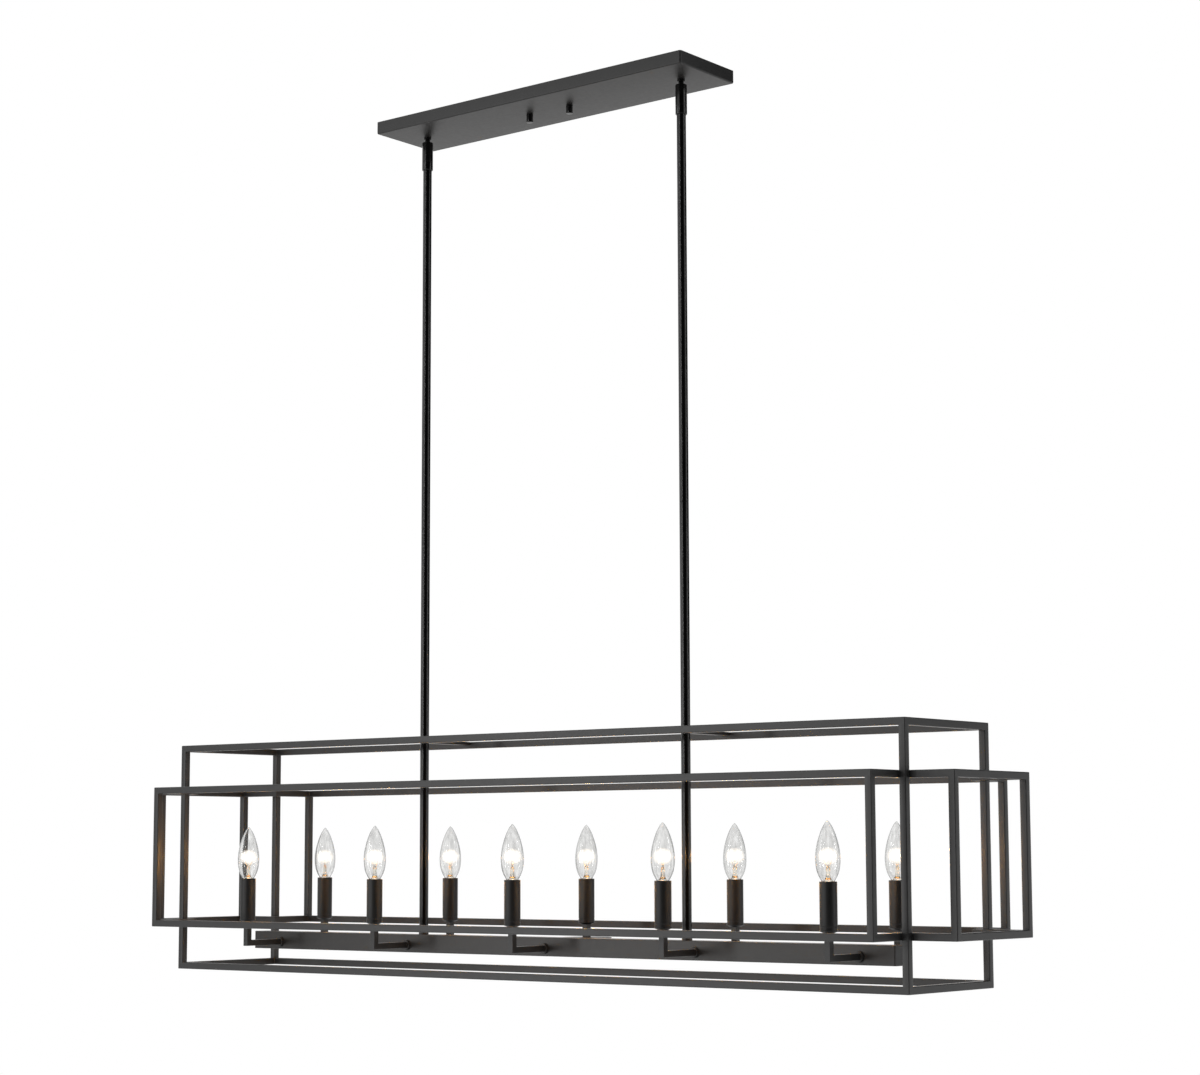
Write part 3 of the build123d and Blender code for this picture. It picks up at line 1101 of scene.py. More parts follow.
@dataclass
class Suspension(SubAssembly):
    """Ball swivels, sectional rods, collars and the straps that carry the box frame."""

    steps: int = 40
    edge_steps: int = 4
    seam: float = 0.35 * MM
    bore: float = 5.0 * MM
    # ball stem
    stem_bore: float = 2.6 * MM
    stem_radius: float = 5.0 * MM
    boss_radius: float = 5.3 * MM
    boss_height: float = 3.0 * MM
    boss_chamfer: float = 0.4 * MM
    waist_radius: float = 3.75 * MM
    waist_drop: float = 4.8 * MM
    ball_foot_angle: float = -67.0
    ball_steps: int = 14
    # coupling
    ball_play: float = 0.3 * MM
    cavity_angle: float = 28.0
    cavity_steps: int = 5
    mouth_radius: float = 6.75 * MM
    throat_radius: float = 6.3 * MM
    throat_rise: float = 3.4 * MM
    coupling_rim: float = 1.1 * MM
    rim_steps: int = 5
    # ferrule, rods, collars and straps
    spigot_radius: float = 7.0 * MM
    ferrule_edge: float = 0.9 * MM
    rod_nodes: tuple[str, ...] = ("rods_3in", "rods_6in", "rods_12in", "rods_lower")
    rod_bore: float = 5.1 * MM
    sections_12in: int = 2
    collar_edge: float = 0.8 * MM
    strap_edge: float = 0.5 * MM

    def build(self) -> None:
        """Make the swivels, rods, collars and straps."""
        for side in ("left", "right"):
            self.build_swivel(side)
        self.build_ferrules()
        for node in self.rod_nodes:
            self.build_rods(node)
        self.build_collars()
        self.build_straps()

    def places(self) -> list[float]:
        """Find the rods.

        Returns:
            X of each one.
        """
        low, high = span("rod_collars")
        reach = high.x - (high.y - low.y) / 2
        return [-reach, reach]

    def build_swivel(self, side: str) -> None:
        """Ball stem and the bevelled coupling that turns on it.

        Args:
            side: left or right.
        """
        node = f"swivel_stem_{side}"
        low, high = span(node)
        axis = ((low.x + high.x) / 2, 0.0, 0.0)
        ball = (high.x - low.x) / 2
        ball_z = low.z + math.sqrt(ball**2 - self.stem_bore**2)
        self.build_stem(side, axis, ball, ball_z)
        self.build_coupling(side, axis, ball, ball_z)

    def build_stem(self, side: str, axis: Point, ball: float, ball_z: float) -> None:
        """Bored stem through the canopy, with a boss under it, a waist and the ball.

        Args:
            side: left or right.
            axis: the rod's axis.
            ball: the ball's radius.
            ball_z: height of the ball's centre.
        """
        node = f"swivel_stem_{side}"
        low, high = span(node)
        pan_low = span("canopy_pan")[0].z
        ball_start = math.degrees(math.acos(self.waist_radius / ball))
        outline = [
            (self.stem_bore, high.z),
            (self.stem_radius, high.z),
            (self.stem_radius, pan_low),
            (self.boss_radius, pan_low),
            (self.boss_radius, pan_low - self.boss_height),
            (
                self.boss_radius - self.boss_chamfer,
                pan_low - (self.boss_height + self.boss_chamfer),
            ),
            (self.waist_radius, pan_low - self.waist_drop),
            *arc((0, ball_z), ball, ball_start, self.ball_foot_angle, self.ball_steps),
            (self.stem_bore, low.z),
        ]
        shape = Shape().loop(outline, axis, self.steps)
        gloss = self.finishes.gloss
        self.keep(shape, f"ball_stem_{side}", gloss, [node], Body.CANOPY.value)

    def build_coupling(self, side: str, axis: Point, ball: float, ball_z: float) -> None:
        """Cup that holds the ball, with a bevelled top rim and a fine seam below.

        Args:
            side: left or right.
            axis: the rod's axis.
            ball: the ball's radius.
            ball_z: height of the ball's centre.
        """
        node = f"swivel_coupling_{side}"
        low, high = span(node)
        radius = (high.x - low.x) / 2
        cavity = ball + self.ball_play
        rim = self.coupling_rim
        outline = [
            (cavity, low.z),
            (radius - self.seam, low.z),
            (radius, low.z + self.seam),
            *arc((radius - rim, high.z - rim), rim, 0, 90, self.rim_steps),
            (self.mouth_radius, high.z),
            (self.throat_radius, ball_z + self.throat_rise),
            *arc((0, ball_z), cavity, self.cavity_angle, 0, self.cavity_steps),
        ]
        shape = Shape().loop(outline, axis, self.steps)
        self.keep(shape, f"coupling_{side}", self.finishes.gloss, [node])

    def build_on_rods(
        self, name: str, node: str, outlines: Sequence[Profile], material: Material
    ) -> None:
        """Turn the same outlines at both rods and keep them as one piece.

        Args:
            name: the piece's name.
            node: the solid that it replaces.
            outlines: closed (radius, height) outlines.
            material: its finish.
        """
        shape = Shape()
        for x in self.places():
            for outline in outlines:
                shape.loop(outline, (x, 0, 0), self.steps)
        self.keep(shape, name, material, [node])

    def build_ferrules(self) -> None:
        """Ferrule below each coupling's seam, with a rounded lower rim."""
        low, high = span("coupling_ferrules")
        seam_z = span("swivel_coupling_left")[0].z
        radius = (high.y - low.y) / 2
        edge = self.ferrule_edge
        outline = [
            (self.bore, low.z),
            *arc((radius - edge, low.z + edge), edge, -90, 0, self.edge_steps),
            (radius, seam_z - self.seam),
            (radius - self.seam, seam_z),
            (self.spigot_radius, seam_z),
            (self.spigot_radius, high.z),
            (self.bore, high.z),
        ]
        self.build_on_rods("ferrules", "coupling_ferrules", [outline], self.finishes.gloss)

    def build_rods(self, node: str) -> None:
        """Rod sections with the fine chamfers that show as seams.

        Args:
            node: the sections' solid.
        """
        low, high = span(node)
        radius = (high.y - low.y) / 2
        count = self.sections_12in if node == "rods_12in" else 1
        length = (high.z - low.z) / count
        outlines = []
        for index in range(count):
            bottom = low.z + index * length
            outlines.append(
                [
                    (self.rod_bore, bottom),
                    (radius - self.seam, bottom),
                    (radius, bottom + self.seam),
                    (radius, bottom + length - self.seam),
                    (radius - self.seam, bottom + length),
                    (self.rod_bore, bottom + length),
                ]
            )
        self.build_on_rods(f"{node}_tubes", node, outlines, self.finishes.gloss)

    def build_collars(self) -> None:
        """Turned collar where each rod meets the channel."""
        low, high = span("rod_collars")
        radius = (high.y - low.y) / 2
        edge = self.collar_edge
        outline = [
            (self.bore, low.z),
            (radius, low.z),
            *arc((radius - edge, high.z - edge), edge, 0, 90, self.edge_steps),
            (self.bore, high.z),
        ]
        self.build_on_rods("channel_collars", "rod_collars", [outline], self.finishes.powder)

    def build_straps(self) -> None:
        """Flat bars across the box top, one at each rod."""
        low, high = span("top_straps")
        half = high.x - self.places()[1]
        shape = Shape()
        for x in self.places():
            shape.block((x - half, low.y, low.z), (x + half, high.y, high.z))
        powder = self.finishes.powder
        self.keep(shape, "cross_straps", powder, ["top_straps"], bevel=self.strap_edge)

    def finish(self) -> None:
        """Finish the nipples that the rods hide."""
        dress("rod_nipples", self.finishes.zinc)
        dress("channel_nipples", self.finishes.zinc)


@dataclass
class TubeFrame(SubAssembly):
    """What the two frames share: rail loops and posts of square tube with soft edges."""

    edge: float = 1.1 * MM
    corner_steps: int = 4

    def build_loop(self, frame_name: str, level: str, outer: Profile, inner: Profile) -> None:
        """Make one closed rail loop.

        Args:
            frame_name: box or band.
            level: top or bottom.
            outer: outer plan corners.
            inner: inner plan corners.
        """
        node = f"{frame_name}_{level}_rails"
        low, high = span(node)
        shape = Shape().hoop(outer, inner, low.z, high.z)
        name = f"{frame_name}_{level}_loop"
        self.keep(shape, name, self.finishes.powder, [node], bevel=self.edge)

    def build_posts(self, frame_name: str, places: Sequence[Pair], tube: float) -> None:
        """Make the posts, which reach into the rounding of the rails above and below.

        Args:
            frame_name: box or band.
            places: plan centre of each post.
            tube: side of the square tube.
        """
        node = f"{frame_name}_posts"
        low, high = span(node)
        foot = low.z - self.edge
        rise = Vector((0, 0, high.z - low.z + 2 * self.edge))
        half = tube / 2
        shape = Shape()
        for place in places:
            plan = rounded_rectangle(half, half, self.edge, self.corner_steps, place)
            shape.prism([Vector((x, y, foot)) for x, y in plan], rise)
        self.keep(shape, f"{frame_name}_uprights", self.finishes.powder, [node])


@dataclass
class BoxFrame(TubeFrame):
    """Tall rectangular frame of square tube."""

    def build(self) -> None:
        """Make the two rail loops and the posts."""
        for level in ("top", "bottom"):
            low, high = span(f"box_{level}_rails")
            tube = high.z - low.z
            outer = rectangle(high.x, high.y)
            inner = rectangle(high.x - tube, high.y - tube)
            self.build_loop("box", level, outer, inner)
        low, high = span("box_posts")
        top_low, top_high = span("box_top_rails")
        tube = top_high.z - top_low.z
        places = [
            (sign_x * (high.x - tube / 2), sign_y * (high.y - tube / 2))
            for sign_x in (-1, 1)
            for sign_y in (-1, 1)
        ]
        self.build_posts("box", places, tube)


@dataclass
class BandFrame(TubeFrame):
    """Lower, plus-shaped frame of square tube that clasps the box's four posts."""

    def build(self) -> None:
        """Make the two twelve-sided rail loops and the eight posts."""
        box_high = span("box_top_rails")[1]
        for level in ("top", "bottom"):
            low, high = span(f"band_{level}_rails")
            tube = high.z - low.z
            inner_x = box_high.x - tube
            inner_y = box_high.y - tube
            outer = plus(high.x, high.y, inner_x, inner_y)
            inner = plus(high.x - tube, high.y - tube, inner_x - tube, inner_y - tube)
            self.build_loop("band", level, outer, inner)
        low, high = span("band_posts")
        middle = tube / 2
        places = [
            (sign_x * (x - middle), sign_y * (y - middle))
            for sign_x in (-1, 1)
            for sign_y in (-1, 1)
            for x, y in ((high.x, inner_y), (inner_x, high.y))
        ]
        self.build_posts("band", places, tube)


@dataclass
class Channel(SubAssembly):
    """Square wiring channel with its two end caps."""

    edge: float = 0.9 * MM
    cap_edge: float = 0.5 * MM

    def build(self) -> None:
        """Make the channel and the caps."""
        powder = self.finishes.powder
        low, high = span("wiring_channel")
        shape = Shape().block(low, high)
        self.keep(shape, "channel_tube", powder, ["wiring_channel"], bevel=self.edge)
        cap_low, cap_high = span("channel_end_caps")
        shape = Shape()
        shape.block((cap_low.x, low.y, low.z), (low.x, high.y, high.z))
        shape.block((high.x, low.y, low.z), (cap_high.x, high.y, high.z))
        self.keep(shape, "channel_caps", powder, ["channel_end_caps"], bevel=self.cap_edge)

    def finish(self) -> None:
        """Finish what the channel hides."""
        dress("wire_harness", self.finishes.insulation)


@dataclass
class CandleArms(SubAssembly):
    """Ten arms with their collars, cups, sleeves and sockets, and one round plate."""

    steps: int = 48
    edge_steps: int = 4
    turned_crease: float = 25.0
    bar_edge: float = 0.5 * MM
    # collars
    collar_edge: float = 0.9 * MM
    collar_bore: float = 4.25 * MM
    # cups
    cup_bore: float = 2.2 * MM
    cup_foot: float = 7.4 * MM
    cup_chamfer: float = 0.3 * MM
    cone_rise: float = 2.0 * MM
    wall_rise: float = 2.4 * MM
    # sleeves
    sleeve_wall: float = 1.0 * MM
    groove: float = 0.35 * MM
    groove_rise: float = 5.5 * MM
    rim: float = 0.45 * MM
    rim_steps: int = 3
    rim_angle: float = 30.0
    lip: float = 0.1 * MM
    # round plate
    plate_bore: float = 4.3 * MM
    plate_steps: int = 72
    plate_edge_steps: int = 6

    def seats(self, row: Side) -> list[Pair]:
        """Find a row's candles.

        Args:
            row: front or rear.

        Returns:
            Their plan points.
        """
        points = []
        for number in range(1, LIGHTS_PER_ROW + 1):
            low, high = span(f"bulb_{row.word}_{number}")
            points.append(((low.x + high.x) / 2, (low.y + high.y) / 2))
        return points

    def build(self) -> None:
        """Make the arms and what stands on them."""
        for row in Side:
            for number in range(1, LIGHTS_PER_ROW + 1):
                self.build_arm(row, number)
            self.build_sleeves(row)
        self.build_collars()
        self.build_cups()
        self.build_plate()

    def build_arm(self, row: Side, number: int) -> None:
        """Square bar that runs out from the channel and turns up to the cup.

        Args:
            row: front or rear.
            number: its place in the row.
        """
        node = f"arm_{row.word}_{number}"
        low, high = span(node)
        bar = high.x - low.x
        near, far = (high.y, low.y) if row is Side.FRONT else (low.y, high.y)
        turn = far - row.value * bar
        outline = [
            Vector((low.x, near, low.z)),
            Vector((low.x, far, low.z)),
            Vector((low.x, far, high.z)),
            Vector((low.x, turn, high.z)),
            Vector((low.x, turn, low.z + bar)),
            Vector((low.x, near, low.z + bar)),
        ]
        shape = Shape().prism(outline, Vector((bar, 0, 0)))
        self.keep(shape, f"{node}_bar", self.finishes.powder, [node], bevel=self.bar_edge)

    def build_collars(self) -> None:
        """Round collar where each arm meets the channel."""
        low, high = span("arm_collars")
        face = span("wiring_channel")[1].y
        deep = high.y - face
        radius = (high.z - low.z) / 2
        middle = (high.z + low.z) / 2
        edge = self.collar_edge
        outline = [
            (self.collar_bore, 0),
            (radius, 0),
            *arc((radius - edge, deep - edge), edge, 0, 90, self.edge_steps),
            (self.collar_bore, deep),
        ]
        shape = Shape()
        for row in Side:
            outward = Matrix.Rotation(math.radians(-90 * row.value), 3, "X")
            for x, _ in self.seats(row):
                shape.loop(outline, (x, row.value * face, middle), self.steps, outward)
        self.keep(shape, "arm_rosettes", self.finishes.powder, ["arm_collars"])

    def build_cups(self) -> None:
        """Shallow turned cup under each sleeve."""
        low, high = span("candle_cups")
        sleeve_low, sleeve_high = span("candle_sleeves_front")
        seat = sleeve_low.z
        sleeve = (sleeve_high.y - sleeve_low.y) / 2
        radius = high.y - self.seats(Side.REAR)[0][1]
        soft = self.cup_chamfer
        outline = [
            (self.cup_bore, low.z),
            (self.cup_foot - soft, low.z),
            (self.cup_foot, low.z + soft),
            (radius - soft, low.z + self.cone_rise),
            (radius, low.z + self.wall_rise),
            (radius, high.z - soft),
            (radius - soft, high.z),
            (sleeve, high.z),
            (sleeve, seat),
            (self.cup_bore, seat),
        ]
        shape = Shape()
        for row in Side:
            for x, y in self.seats(row):
                shape.loop(outline, (x, y, 0), self.steps)
        satin = self.finishes.sleeve
        self.keep(shape, "cups_turned", satin, ["candle_cups"], crease=self.turned_crease)

    def build_sleeves(self, row: Side) -> None:
        """Thin tube with a rolled top rim and a faint groove near its foot.

        Args:
            row: front or rear.
        """
        node = f"candle_sleeves_{row.word}"
        low, high = span(node)
        radius = (high.y - low.y) / 2
        inside = radius - self.sleeve_wall
        groove_z = low.z + self.groove_rise
        rim = self.rim
        outline = [
            (inside, low.z),
            (radius, low.z),
            (radius, groove_z - 2 * self.groove),
            (radius - self.groove, groove_z),
            (radius, groove_z + 2 * self.groove),
            (radius, high.z - rim),
            *arc((radius - rim, high.z - rim), rim, self.rim_angle, 90, self.rim_steps),
            (inside + self.lip, high.z),
            (inside, high.z - self.lip),
        ]
        shape = Shape()
        for x, y in self.seats(row):
            shape.loop(outline, (x, y, 0), self.steps)
        satin = self.finishes.sleeve
        self.keep(shape, f"sleeves_{row.word}", satin, [node], crease=self.turned_crease)

    def build_plate(self) -> None:
        """Thin round plate on the middle rear riser."""
        low, high = span("riser_disc")
        radius = (high.x - low.x) / 2
        centre = ((low.x + high.x) / 2, (low.y + high.y) / 2, 0)
        edge = (high.z - low.z) / 2
        outline = [
            (self.plate_bore, low.z),
            *arc((radius - edge, low.z + edge), edge, -90, 90, self.plate_edge_steps),
            (self.plate_bore, high.z),
        ]
        shape = Shape().loop(outline, centre, self.plate_steps)
        self.keep(shape, "riser_plate", self.finishes.powder, ["riser_disc"])

    def finish(self) -> None:
        """Finish the sockets and screws that the sleeves and arms hide."""
        dress("lamp_sockets", self.finishes.phenolic)
        dress("arm_fasteners", self.finishes.zinc)


@dataclass
class TorpedoBulb(SubAssembly):
    """One clear candle bulb: glass, screw base, glass stem, support wires and filament.

    Heights start at the sleeve's rim, and in the screw base at its lowest point. The outlines
    and wire paths that are written as points are in millimetres.
    """

    row: Side = Side.FRONT
    number: int = 1
    own_turn: float = 37.0
    rear_turn: float = 90.0
    # glass, whose handles are shares of its rise to the belly and its fall to the tip
    glass_steps: int = 56
    glass_wall: float = 0.45 * MM
    glass_crease: float = 60.0
    chords: int = 12
    neck_radius: float = 8.2 * MM
    belly_height: float = 28.0 * MM
    flare_out: float = 0.14
    flare_up: float = 0.13
    belly_pull: float = 0.69
    shoulder_pull: float = 0.42
    crown_width: float = 0.35
    crown_drop: float = 0.06
    # screw base
    base_steps: int = 36
    base_crease: float = 50.0
    base_top: float = -3.4 * MM
    base_radius: float = 5.9 * MM
    base_foot: Profile = ((2.9, 0.9), (4.6, 2.2))
    base_lip: float = 0.2 * MM
    shoulder_rise: float = 2.9 * MM
    collar_depth: float = 1.0 * MM
    thread_foot: float = 3.2 * MM
    thread_head: float = 3.0 * MM
    thread_depth: float = 0.35 * MM
    thread_pitch: float = 2.4 * MM
    thread_rows: int = 26
    insulator_outline: Profile = ((0.0, 0.5), (2.9, 0.9), (2.9, 1.0), (0.0, 1.0))
    insulator_steps: int = 28
    contact_outline: Profile = ((0.0, 0.0), (1.6, 0.15), (2.0, 0.6), (0.0, 0.7))
    contact_steps: int = 24
    contact_crease: float = 60.0
    # glass stem and its wires
    stem_outline: Profile = (
        (0.0, 0.6),
        (6.4, 0.4),
        (4.6, 2.2),
        (3.3, 5.0),
        (2.7, 9.0),
        (2.5, 13.0),
        (2.9, 15.0),
        (2.2, 16.6),
        (0.9, 18.0),
        (0.9, 22.5),
        (1.4, 23.6),
        (0.9, 24.6),
        (0.0, 24.9),
    )
    stem_steps: int = 28
    stem_crease: float = 50.0
    lead_path: Sequence[Point] = (
        (1.3, 0.0, 13.5),
        (1.6, 0.0, 17.0),
        (3.4, 0.0, 21.5),
        (5.2, 0.0, 25.5),
        (5.6, 0.0, 28.0),
    )
    lead_radius: float = 0.28 * MM
    lead_sides: int = 8
    hook_path: Sequence[Point] = ((0.4, 0.0, 23.8), (1.6, 1.0, 28.0), (2.4, 1.4, 33.5))
    hook_radius: float = 0.18 * MM
    hook_sides: int = 6
    # filament
    turns: int = 26
    steps_per_turn: int = 8
    coil_radius: float = 0.55 * MM
    filament_reach: float = 5.6 * MM
    filament_sway: float = 1.2 * MM
    filament_foot: float = 28.0 * MM
    arch_height: float = 6.5 * MM
    arch_fullness: float = 0.8
    filament_radius: float = 0.16 * MM
    filament_sides: int = 6
    filament_crease: float = 80.0
    # bloom and light
    bloom_radius: float = 14.0 * MM
    bloom_stretch: float = 0.88
    bloom_height: float = 31.0 * MM
    bloom_chords: int = 16
    bloom_steps: int = 36
    light_power: float = 0.34
    light_colour: Colour = (1.0, 0.48, 0.13)
    light_size: float = 4.0 * MM
    # taken from the solids when the bulb is built
    centre: Point = field(init=False)
    rim_z: float = field(init=False)
    low_z: float = field(init=False)
    top_z: float = field(init=False)
    belly_radius: float = field(init=False)

    @property
    def node(self) -> str:
        """The bulb's solid, which is also its body."""
        return f"bulb_{self.row.word}_{self.number}"

    def build(self) -> None:
        """Make the bulb's pieces."""
        low, high = span(self.node)
        self.centre = ((low.x + high.x) / 2, (low.y + high.y) / 2, 0.0)
        self.rim_z = span("candle_sleeves_front")[1].z
        self.low_z = low.z
        self.top_z = high.z
        self.belly_radius = (high.x - low.x) / 2
        self.build_glass()
        self.build_base()
        self.build_contacts()
        self.build_stem()
        self.build_supports()
        self.build_filament()
        self.build_bloom()
        self.build_light()

    def add(
        self,
        shape: Shape,
        word: str,
        material: Material,
        stands_for: Iterable[str] = (),
        **edges: float,
    ) -> bpy.types.Object:
        """Keep a mesh as a piece that rides with this bulb.

        Args:
            shape: the mesh.
            word: what it is, for its name.
            material: its finish.
            stands_for: solids that it replaces.
            **edges: bevel and crease, as Shape.piece takes them.

        Returns:
            The new object.
        """
        return self.keep(shape, f"{word}_{self.node}", material, stands_for, self.node, **edges)

    def shell(self, inset: float) -> list[Pair]:
        """Draw the glass, from the base to the tip.

        Args:
            inset: how far the outline is moved inwards.

        Returns:
            Its (radius, height) points.
        """
        foot = (self.base_radius - inset, self.rim_z + self.base_top)
        neck = (self.neck_radius - inset, self.rim_z)
        belly = (self.belly_radius - inset, self.rim_z + self.belly_height)
        tip = (0.0, self.top_z - inset)
        rise = belly[1] - neck[1]
        fall = tip[1] - belly[1]
        flare = (neck[0] + self.flare_out * self.neck_radius, neck[1] + self.flare_up * rise)
        swell = (belly[0], belly[1] - self.belly_pull * rise)
        lower = curve(neck, flare, swell, belly, self.chords)
        shoulder = (belly[0], belly[1] + self.shoulder_pull * fall)
        crown = (self.crown_width * belly[0], tip[1] - self.crown_drop * fall)
        upper = curve(belly, shoulder, crown, tip, self.chords)
        return [foot, *lower, *upper[1:]]

    def build_glass(self) -> None:
        """Blown shell with a real wall, smooth all over."""
        outline = [*self.shell(0.0), *reversed(self.shell(self.glass_wall))]
        shape = Shape().loop(outline, self.centre, self.glass_steps)
        glass = self.finishes.glass
        made = self.add(shape, "glass", glass, [self.node], crease=self.glass_crease)
        smooth = made.modifiers.new("blown", "SUBSURF")
        smooth.levels = 1
        smooth.render_levels = 1

    def build_base(self) -> None:
        """Screw base with a rolled thread."""
        top = self.rim_z + self.base_top
        low = self.low_z
        thread_low = low + self.thread_foot
        thread_high = top - self.thread_head
        tall = thread_high - thread_low
        rows = self.thread_rows

        def ripple(angle: float, height: float) -> float:
            """Thread depth at an angle and height.

            Args:
                angle: angle round the base.
                height: height of the point.

            Returns:
                The change of radius.
            """
            if not thread_low < height < thread_high:
                return 0.0
            phase = (height - thread_low) / self.thread_pitch - angle / math.tau
            return self.thread_depth * (math.cos(math.tau * phase) - 1) / 2

        outline = [
            *lifted(self.base_foot, low),
            (self.base_radius - self.base_lip, low + self.shoulder_rise),
            *[(self.base_radius, thread_low + tall * row / rows) for row in range(rows + 1)],
            (self.base_radius, top - self.collar_depth),
            (self.base_radius - self.base_lip, top),
            (0, top),
        ]
        shape = Shape().lathe(outline, self.centre, self.base_steps, ripple=ripple)
        self.add(shape, "base", self.finishes.brass, crease=self.base_crease)

    def build_contacts(self) -> None:
        """Insulator under the base and the contact in its middle."""
        outline = lifted(self.insulator_outline, self.low_z)
        shape = Shape().lathe(outline, self.centre, self.insulator_steps)
        self.add(shape, "insulator", self.finishes.insulator)
        outline = lifted(self.contact_outline, self.low_z)
        shape = Shape().lathe(outline, self.centre, self.contact_steps)
        self.add(shape, "contact", self.finishes.zinc, crease=self.contact_crease)

    def build_stem(self) -> None:
        """Flared glass stem with its pinch and its button."""
        outline = lifted(self.stem_outline, self.rim_z)
        shape = Shape().lathe(outline, self.centre, self.stem_steps)
        self.add(shape, "stem", self.finishes.stem_glass, crease=self.stem_crease)

    def build_supports(self) -> None:
        """Two lead-in wires out to the filament's ends, and two hooks under its arch."""
        shape = Shape()
        for sign in (-1, 1):
            shape.wire(self.wire_path(self.lead_path, sign), self.lead_radius, self.lead_sides)
            shape.wire(self.wire_path(self.hook_path, sign), self.hook_radius, self.hook_sides)
        self.add(shape, "supports", self.finishes.wire, crease=self.stem_crease)

    def wire_path(self, path: Sequence[Point], sign: int) -> list[Vector]:
        """Put a wire's points in place.

        Args:
            path: points in millimetres from the bulb's axis at the sleeve's rim.
            sign: -1 or 1, for the two wires of a pair.

        Returns:
            The points in metres.
        """
        middle = Vector(self.centre)
        return [
            self.turned(Vector((sign * x * MM, sign * y * MM, self.rim_z + z * MM))) + middle
            for x, y, z in path
        ]

    def turned(self, point: Vector) -> Vector:
        """Give each bulb its own turn in the socket.

        Args:
            point: a point measured from the bulb's axis.

        Returns:
            The point after the turn.
        """
        extra = self.rear_turn if self.row is Side.REAR else 0.0
        angle = math.radians(self.own_turn * self.number + extra)
        return Matrix.Rotation(angle, 3, "Z") @ point

    def build_filament(self) -> None:
        """Coiled wire draped over the hooks in a low arch."""
        middle = Vector(self.centre)
        foot = self.rim_z + self.filament_foot
        count = self.turns * self.steps_per_turn
        path = []
        for step in range(count + 1):
            t = step / count
            along = math.pi * t
            arch = self.arch_height * math.sin(along) ** self.arch_fullness
            spine = Vector(
                (
                    -self.filament_reach * math.cos(along),
                    self.filament_sway * math.sin(2 * along),
                    foot + arch,
                )
            )
            spin = math.tau * self.turns * t
            spine += Vector(
                (
                    self.coil_radius * math.cos(spin) * math.sin(along),
                    self.coil_radius * math.sin(spin),
                    self.coil_radius * math.cos(spin),
                )
            )
            path.append(self.turned(spine) + middle)
        shape = Shape().wire(path, self.filament_radius, self.filament_sides)
        self.add(shape, "filament", self.finishes.filament, crease=self.filament_crease)

    def build_bloom(self) -> None:
        """Flattened ball of glare round the filament, closed on the axis."""
        ball = arc((0, 0), self.bloom_radius, -90, 90, self.bloom_chords)
        middle = self.rim_z + self.bloom_height
        profile = [(radius, middle + rise * self.bloom_stretch) for radius, rise in ball]
        profile[0] = (0.0, profile[0][1])
        profile[-1] = (0.0, profile[-1][1])
        shape = Shape().lathe(profile, self.centre, self.bloom_steps)
        made = self.add(shape, "bloom", self.finishes.bloom, crease=self.filament_crease)
        made.visible_shadow = False
        made.visible_glossy = False

    def build_light(self) -> None:
        """Warm light of the filament."""
        lamp = bpy.data.lights.new(f"light_{self.node}", "POINT")
        lamp.energy = self.light_power
        lamp.color = self.light_colour
        lamp.shadow_soft_size = self.light_size
        holder = put(lamp.name, lamp)
        holder.location = Vector(self.centre) + Vector((0, 0, self.rim_z + self.bloom_height))
        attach(holder, self.node)


# ------------------------------------------------------------------ surroundings
@dataclass(frozen=True)
class FlatLamp:
    """Upright rectangular studio lamp that faces the pendant's axis."""

    name: str
    place: Point
    power: float
    width: float
    height: float

    def build(self) -> None:
        """Make the lamp."""
        lamp = bpy.data.lights.new(self.name, "AREA")
        lamp.energy = self.power
        lamp.shape = "RECTANGLE"
        lamp.size = self.width
        lamp.size_y = self.height
        holder = put(self.name, lamp)
        holder.location = self.place
        aim = Vector((-self.place[0], -self.place[1], 0))
        holder.rotation_euler = aim.to_track_quat("-Z", "Y").to_euler()


